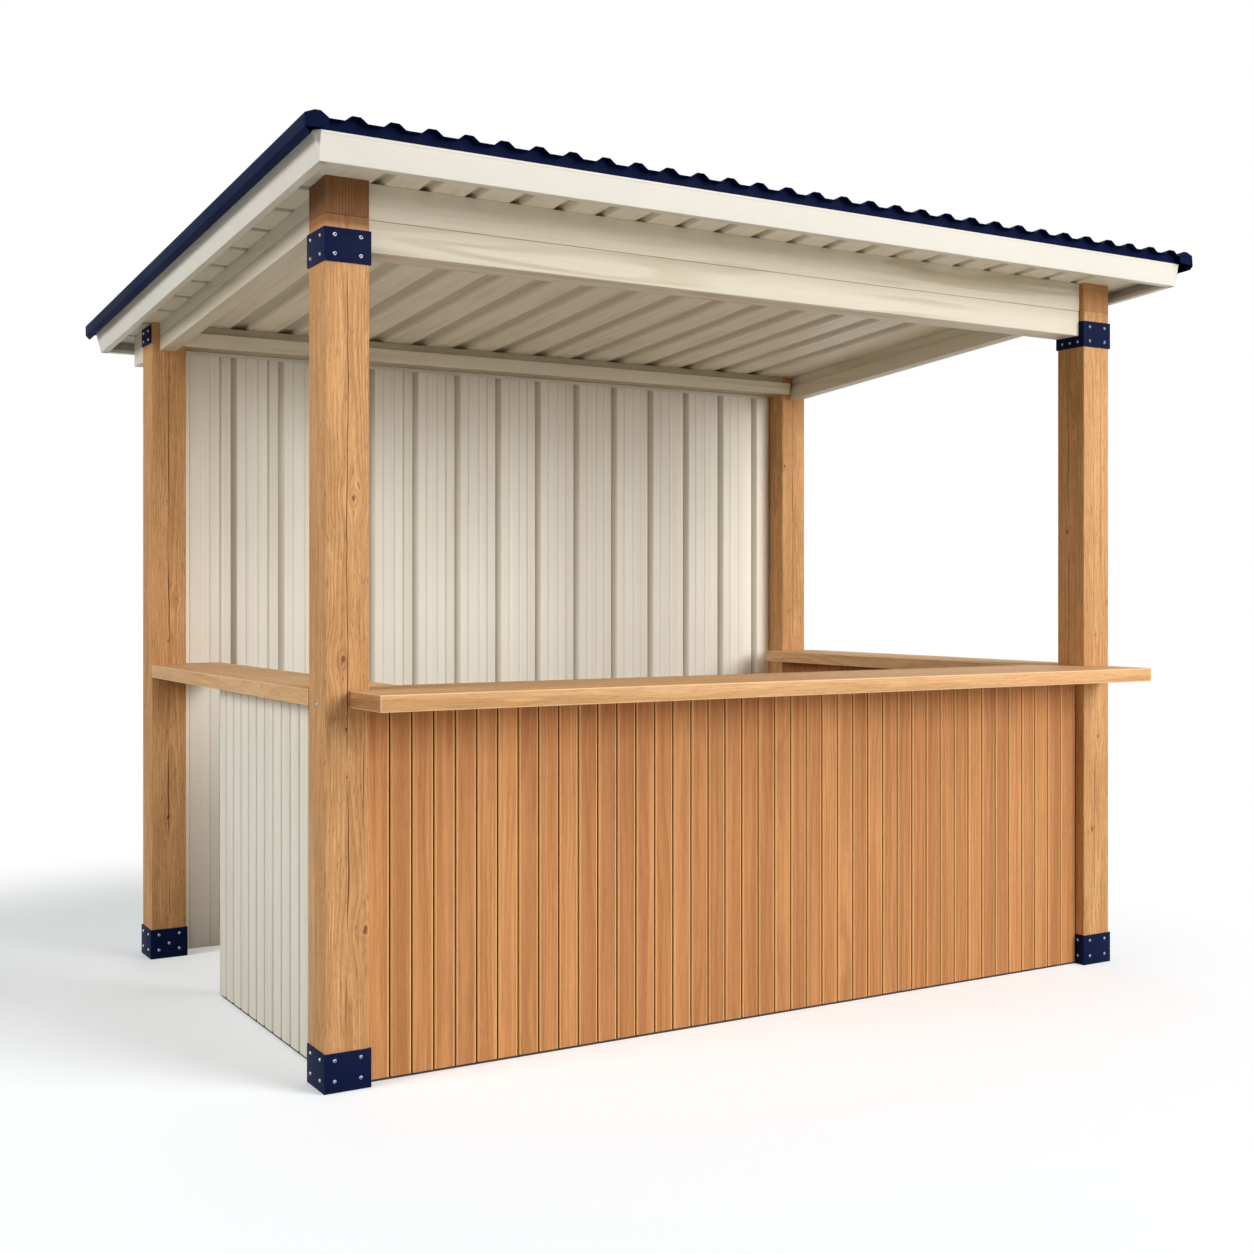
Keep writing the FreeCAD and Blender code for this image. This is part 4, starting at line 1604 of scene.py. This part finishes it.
@dataclass
class BackWall:
    """The two trapezoidal sheets of the back wall and the trims over their tops."""

    ribs: Ribs = Ribs(pitch=0.1918, edge_pan=0.060, crown=0.037, flank=0.017, height=0.025,
                      shift=0.042)
    sheet: float = 0.0007
    crease: float = 0.036
    crease_width: float = 0.005
    crease_depth: float = 0.0026
    creased_from: float = 0.090
    trim_sheet: float = 0.0015

    def build(self) -> None:
        """Makes the sheets and the trims; the outer ones face the back."""
        for node, outward in (("back_wall_inner", 1), ("back_wall_outer", -1)):
            low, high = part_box(node)
            face = low.y if outward > 0 else high.y
            # the wall sheet's steep rib flanks carry painted shade
            FoldedSheet(node + "_sheet", node, WALL_SHEET, self.creased(high.x - low.x),
                        self.sheet, low.z, high.z,
                        lambda u, run, v: Vector((low.x + u, face + outward * v, run)),
                        radius=0.0025, rows=8, ripple=0.0002, shaded=Fold.FLANK).build()
        for node, outward in (("wall_trim_inner", 1), ("wall_trim_outer", -1)):
            low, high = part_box(node)
            near, far = (low.y, high.y) if outward > 0 else (high.y, low.y)
            FoldedSheet(node + "_sheet", node, CREAM_SHEET,
                        line_through((far, high.z), (near, high.z), (near, low.z)),
                        self.trim_sheet * outward, low.x, high.x,
                        lambda u, run, v: Vector((run, u, v)), radius=0.002).build()

    def creased(self, length: float) -> Line:
        """Wall section with two shallow creases in each broad rib.

        Args:
            length: width of the sheet.

        Returns:
            The section's line.
        """
        plain = self.ribs.line(length)
        line = [plain[0]]
        for start, end in pairwise(plain):
            if end.x - start.x > self.creased_from and start.y == end.y:
                for middle in (start.x + self.crease, end.x - self.crease):
                    line += line_through((middle - self.crease_width / 2, start.y),
                                         (middle, start.y + self.crease_depth),
                                         (middle + self.crease_width / 2, start.y))
            line.append(end)
        return line


# roof


@dataclass
class Roof:
    """Roof sheet, trims, fascias, ceiling, soffits and roof screws."""

    ribs: Ribs = Ribs(pitch=0.1068, edge_pan=0.082, crown=0.0245, flank=0.019, height=0.015,
                      shift=0.016)
    close_ribs: Ribs = Ribs(pitch=0.1435, edge_pan=0.060, crown=0.022, flank=0.009,
                            height=0.015)
    wide_ribs: Ribs = Ribs(pitch=0.186, edge_pan=0.050, crown=0.050, flank=0.012,
                           height=0.015, shift=-0.075)
    soffit_ribs: Ribs = Ribs(pitch=0.220, edge_pan=0.080, crown=0.024, flank=0.006,
                             height=0.008)
    sheet: float = 0.0007
    batten_height: float = 0.040
    batten_rows: int = 4
    inset: float = 0.004
    trim_foot: float = 0.066
    trim_flange: float = 0.044
    trim_shoulder: float = 0.028
    trim_shoulder_drop: float = 0.011
    trim_rise: float = 0.002
    trim_face: float = 0.038
    trim_return: float = 0.015
    trim_sheet: float = 0.0012
    plate: float = 0.001
    plate_ends: tuple[float, float] = (0.0008, 0.0018)
    plate_side: float = 0.0013
    plate_foot: float = 0.003
    screw_sunk: float = 0.0003
    fascia_gap: float = 0.039
    fascia_drop: float = 0.045
    fascia_lean: float = 0.019
    fascia_flange: float = 0.040
    fascia_lip: float = 0.025
    fascia_upturn: float = 0.012
    fascia_hem: float = 0.007
    hem_step: float = 0.0011
    hem_drop: float = 0.001
    corner_easing: float = 0.0003
    fascia_sheet: float = 0.001
    side_setback: float = 0.051
    back_setback: float = 0.033
    eaves_board: float = 0.015
    ceiling_start: float = 0.051
    screw_section: ClassVar[tuple[tuple[float, float, bool], ...]] = (
        (0.0078, 0.0, False), (0.0080, 0.0008, False), (0.0068, 0.0019, False),
        (0.0046, 0.0021, True), (0.0046, 0.0058, True), (0.0036, 0.0066, False))

    def __post_init__(self) -> None:
        """Works out the levels and the fascia's rectangle."""
        liner_top = self.close_ribs.height + self.sheet
        self.sheet_level = liner_top + self.batten_height
        self.crest = self.sheet_level + self.ribs.height + self.sheet
        self.fascia_top = liner_top + self.eaves_board + self.fascia_sheet
        self.left = self.side_setback - PLAN.side_overhang
        self.right = PLAN.width - self.left
        self.front = self.fascia_gap - PLAN.front_overhang
        self.back = PLAN.depth + PLAN.back_overhang - self.back_setback
        self.start = -PLAN.front_overhang
        self.end = PLAN.depth + PLAN.back_overhang

    def build(self) -> None:
        """Makes the roof from the sheet down to the ceiling."""
        self.roof_sheet()
        self.trims()
        self.fascias()
        self.ceiling()
        self.soffits()

    def roof_sheet(self) -> None:
        """Makes the ribbed roof sheet and the washered screws through its ribs."""
        left = self.inset - PLAN.side_overhang
        line = self.ribs.line(PLAN.width - 2 * left)
        FoldedSheet("roof_sheet_steel", "roof_sheet", NAVY_SHEET, line, self.sheet, self.start,
                    self.end, lambda u, run, v: PLAN.on_slope(left + u, run, self.sheet_level + v),
                    radius=0.006, rows=6, ripple=0.0003).build()
        crests = [left + (a.x + b.x) / 2 for a, b in pairwise(line) if a.y > 0.001 and b.y > 0.001]
        step = (self.back - self.front) / (self.batten_rows + 1)
        up = PLAN.on_slope(0, 0, 1) - PLAN.on_slope(0, 0, 0)
        draft = MeshDraft()
        draw = random.Random(21)
        for row in range(1, self.batten_rows + 1):
            for x in crests:
                at = PLAN.on_slope(x, self.front + row * step,
                                   self.crest - self.screw_sunk)
                draft.turned(self.screw_section, (at, up), draw.uniform(0, 1), 12)
        draft.piece("roof_screws", NAVY_SHEET, smooth=SMOOTH_SCREW)

    def trims(self) -> None:
        """Makes the folded trims over the sheet's two side edges and their end plates."""
        outer = -PLAN.side_overhang
        foot, flange, shoulder = (outer + self.trim_foot, outer + self.trim_flange,
                                  outer + self.trim_shoulder)
        top = self.crest + self.trim_rise
        edge = top - self.trim_shoulder_drop
        line = line_through(
            (foot, self.sheet_level + self.sheet + self.trim_sheet), (flange, top),
            (shoulder, top), (outer, edge), (outer, edge - self.trim_face),
            (outer + self.trim_return, edge - self.trim_face - self.trim_return))
        edge -= self.trim_sheet
        side = outer + self.plate_side
        plate = [(side, edge - self.trim_face + self.plate_foot), (side, edge),
                 (shoulder, top - self.trim_sheet), (flange - self.plate, top - self.trim_sheet),
                 (foot, self.sheet_level), (foot, self.fascia_top)]
        first, last = self.plate_ends
        draft = MeshDraft()
        for hand in ("left", "right"):
            FoldedSheet(f"side_trim_{hand}_steel", f"side_trim_{hand}", NAVY_SHEET, line,
                        self.trim_sheet, self.start, self.end, self.handed(hand),
                        radius=0.0035, rows=6).build()
            for near in (self.start + first, self.end - last):
                draft.bar(plate, near, near + self.plate, self.handed(hand))
        draft.piece("trim_end_plates", NAVY_SHEET)

    @staticmethod
    def handed(hand: str) -> Place:
        """Places a section of the left side, or its mirror image."""
        return lambda u, run, v: PLAN.on_slope(u if hand == "left" else PLAN.width - u, run, v)

    def fascias(self) -> None:
        """Makes the four fascias, with a hem at the top edge, and their corner plates."""
        slope = self.fascia_lean / (self.fascia_top + self.fascia_drop)
        hem = self.fascia_top - self.fascia_hem
        line = line_through(
            (self.fascia_lean - self.fascia_flange, self.fascia_top),
            (self.fascia_lean, self.fascia_top),
            (self.fascia_lean - self.fascia_hem * slope, hem),
            (self.fascia_lean - self.hem_step - (self.fascia_hem + self.hem_drop) * slope,
             hem - self.hem_drop),
            (0.0, -self.fascia_drop), (-self.fascia_lip, -self.fascia_drop),
            (-self.fascia_lip, self.fascia_upturn - self.fascia_drop))
        across, deep = (self.left, self.right), (self.front, self.back)
        places: dict[str, tuple[Place, tuple[float, float]]] = {
            "front": (lambda u, run, v: PLAN.on_slope(run, self.front - u, v), across),
            "back": (lambda u, run, v: PLAN.on_slope(run, self.back + u, v), across),
            "left": (lambda u, run, v: PLAN.on_slope(self.left - u, run, v), deep),
            "right": (lambda u, run, v: PLAN.on_slope(self.right + u, run, v), deep),
        }
        for name, (place, ends) in places.items():
            FoldedSheet(f"fascia_{name}_steel", f"fascia_{name}", FASCIA_SHEET, line,
                        -self.fascia_sheet, *ends, place, radius=0.0018, rows=6).build()
        eased_copy("fascia_corners", "fascia_corner_plates", (FASCIA_SHEET, NAVY_SHEET),
                   self.corner_easing, 1, lambda middle: int(middle.x > 0 and middle.y < 0))

    def ceiling(self) -> None:
        """Makes the ribbed ceiling: close ribs in front of the beam, wide ones behind it."""
        start = self.ceiling_start
        low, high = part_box("front_top_plate")
        lap = (low.y + high.y) / 2 - PLAN.corner.y
        for name, ribs, near, far in (
                ("front_soffit_steel", self.close_ribs, self.front + self.fascia_sheet, lap),
                ("ceiling_liner_steel", self.wide_ribs, lap, self.back - self.fascia_sheet)):
            # the ceiling's rib recesses carry painted shade
            FoldedSheet(name, "ceiling_liner", CEILING_SHEET, ribs.line(PLAN.width - 2 * start),
                        self.sheet, near, far,
                        lambda u, run, v: PLAN.on_slope(start + u, run, v), radius=0.0022,
                        rows=6, ripple=0.0001, shaded=Fold.RECESS).build()

    def soffits(self) -> None:
        """Makes the soffit strips outside the side beams."""
        near = self.front + self.fascia_sheet
        line = self.soffit_ribs.line(self.back - self.fascia_sheet - near)
        for hand in ("left", "right"):
            place = self.handed(hand)
            # the soffits' rib recesses carry painted shade
            FoldedSheet(f"soffit_{hand}_steel", f"soffit_{hand}", CREAM_SHEET, line, self.sheet,
                        self.left + self.fascia_sheet, self.ceiling_start,
                        lambda u, run, v: place(run, near + u, v), radius=0.0018,
                        shaded=Fold.RECESS).build()


# studio


@dataclass(frozen=True)
class Softbox:
    """A square lamp that faces the middle of the bar."""

    name: str
    at: tuple[float, float, float]
    size: float
    power: float
    aim: tuple[float, float, float] = (0.0, 0.0, 1.2)

    def build(self) -> None:
        """Hangs the lamp in its place."""
        light = bpy.data.lights.new(self.name, "AREA")
        light.shape = "SQUARE"
        light.size = self.size
        light.energy = self.power
        made = bpy.data.objects.new(self.name, light)
        made.location = self.at
        view = Vector(self.aim) - Vector(self.at)
        made.rotation_euler = view.to_track_quat("-Z", "Y").to_euler()
        bpy.context.scene.collection.objects.link(made)


@dataclass
class Studio:
    """Floor, lamps, surroundings and camera."""

    eye: tuple[float, float, float] = (-3.0293, -5.1302, 1.3686)
    turn: float = 30.90
    focal_pixels: float = 1578.29
    picture: float = 1254.0
    middle_row: float = 593.19
    sensor: float = 36.0
    ambient: float = 0.08
    bounce: tuple[float, ...] = (0.61, 0.618, 0.585, 1.0)
    seen: tuple[float, ...] = (0.81, 0.85, 0.88, 1.0)
    glow: float = 0.26
    middle: tuple[float, float, float] = (-1.1, -0.3, 0.0)
    fade: tuple[float, float] = (2.1, 3.7)
    floor_rings: tuple[float, ...] = (0.5, 3.0, 8.0, 20.0, 60.0)
    floor_points: int = 48
    floor_level: float = -0.0005
    sight: float = 200.0
    lamps: ClassVar[tuple[Softbox, ...]] = (
        Softbox("key_softbox", (6.0, -13.0, 5.4), 6.0, 1400.0),
        Softbox("low_softbox", (4.0, -14.0, 2.6), 5.0, 240.0),
        Softbox("high_softbox", (5.5, -7.5, 9.0), 4.0, 420.0),
        Softbox("side_softbox", (-9.5, -1.2, 5.2), 4.0, 540.0),
        Softbox("back_softbox", (3.5, 13.0, 4.6), 6.0, 520.0),
    )

    def build(self) -> None:
        """Makes everything that isn't part of the bar."""
        self.camera()
        self.floor()
        self.surroundings()
        for lamp in self.lamps:
            lamp.build()
        bpy.context.scene.view_settings.view_transform = "Standard"

    def camera(self) -> None:
        """Puts the camera where the photograph was taken from."""
        lens = bpy.data.cameras.new("camera")
        lens.sensor_width = self.sensor
        lens.sensor_fit = "HORIZONTAL"
        lens.lens = self.sensor * self.focal_pixels / self.picture
        lens.shift_y = (self.middle_row - self.picture / 2) / self.picture
        lens.clip_end = self.sight
        made = bpy.data.objects.new("camera", lens)
        made.location = self.eye
        made.rotation_euler = (math.radians(90), 0.0, -math.radians(self.turn))
        bpy.context.scene.collection.objects.link(made)
        bpy.context.scene.camera = made

    def floor(self) -> None:
        """Lays a pale floor that keeps the bar's shadow and fades to white."""
        draft = MeshDraft()
        angles = [2 * math.pi * step / self.floor_points for step in range(self.floor_points)]
        rings = [[draft.add(Vector((reach * math.cos(a), reach * math.sin(a),
                                    self.floor_level)))
                  for a in angles] for reach in self.floor_rings]
        for first, second in pairwise(rings):
            draft.band(first, second)
        draft.faces.append(tuple(rings[0]))
        mesh = bpy.data.meshes.new("floor")
        mesh.from_pydata([tuple(point) for point in draft.points], [], draft.faces)
        material = bpy.data.materials.new("studio_floor")
        material.use_nodes = True
        graph = ShaderGraph(material.node_tree)
        plain = graph.node("ShaderNodeBsdfDiffuse", {}, {"Color": self.bounce})
        seen = graph.node("ShaderNodeBsdfDiffuse", {}, {"Color": self.seen})
        glow = graph.node("ShaderNodeEmission", {}, {"Color": WHITE, "Strength": self.glow})
        lit = graph.node("ShaderNodeAddShader", {}, {0: seen.outputs[0], 1: glow.outputs[0]})
        white = graph.node("ShaderNodeEmission", {}, {"Color": WHITE, "Strength": 1.0})
        place = graph.vector("SUBTRACT", graph.position(), self.middle)
        shown = graph.blend(graph.length(place).step(*self.fade), lit, white)
        graph.surface(graph.blend(self.seen_directly(graph), plain, shown))
        mesh.materials.append(material)
        made = bpy.data.objects.new("floor", mesh)
        bpy.context.scene.collection.objects.link(made)

    @staticmethod
    def seen_directly(graph: ShaderGraph) -> Number:
        """1 for what the camera, a mirror or glass sees, 0 for light that falls on surfaces."""
        rays = graph.node("ShaderNodeLightPath", {}, {})
        return reduce(Number.largest, [Number(graph, rays.outputs[f"Is {kind} Ray"])
                                       for kind in ("Camera", "Glossy", "Transmission")])

    def surroundings(self) -> None:
        """Makes the surroundings white to the eye and softer as a light."""
        world = bpy.data.worlds.new("studio_world")
        world.use_nodes = True
        graph = ShaderGraph(world.node_tree)
        soft, white = (graph.node("ShaderNodeBackground", {}, {"Color": WHITE, "Strength": power})
                       for power in (self.ambient, 1.0))
        mixed = graph.blend(self.seen_directly(graph), soft, white)
        graph.node("ShaderNodeOutputWorld", {}, {"Surface": mixed.outputs[0]})
        bpy.context.scene.world = world


# the whole bar


KEPT_NODES: dict[str, Finish] = {
    "front_wall_frame": RAW_TIMBER, "left_wall_frame": RAW_TIMBER, "right_wall_frame": RAW_TIMBER,
    "back_wall_frame": RAW_TIMBER, "roof_battens": RAW_TIMBER, "eaves_board_front": RAW_TIMBER,
    "eaves_board_back": RAW_TIMBER, "eaves_closure_front": NAVY_SHEET,
    "eaves_closure_back": NAVY_SHEET,
}


def dress_kept_nodes() -> None:
    """Gives the frame's nodes that stay in sight their finishes."""
    for name, finish in KEPT_NODES.items():
        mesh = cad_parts[name].data
        mesh.materials.clear()
        mesh.materials.append(finish.material())
        log.info("%s: kept, %s", name, finish.name)


def main() -> None:
    """Builds every sub-assembly around the frame."""
    logging.basicConfig(level=logging.INFO, format="%(name)s %(message)s")
    Studio().build()
    dress_kept_nodes()
    for assembly in (Posts(), Fittings(), Beams(), Walls(), Counters(), BackWall(), Roof()):
        log.info("%s", type(assembly).__name__)
        assembly.build()


if __name__ == "__main__":
    main()
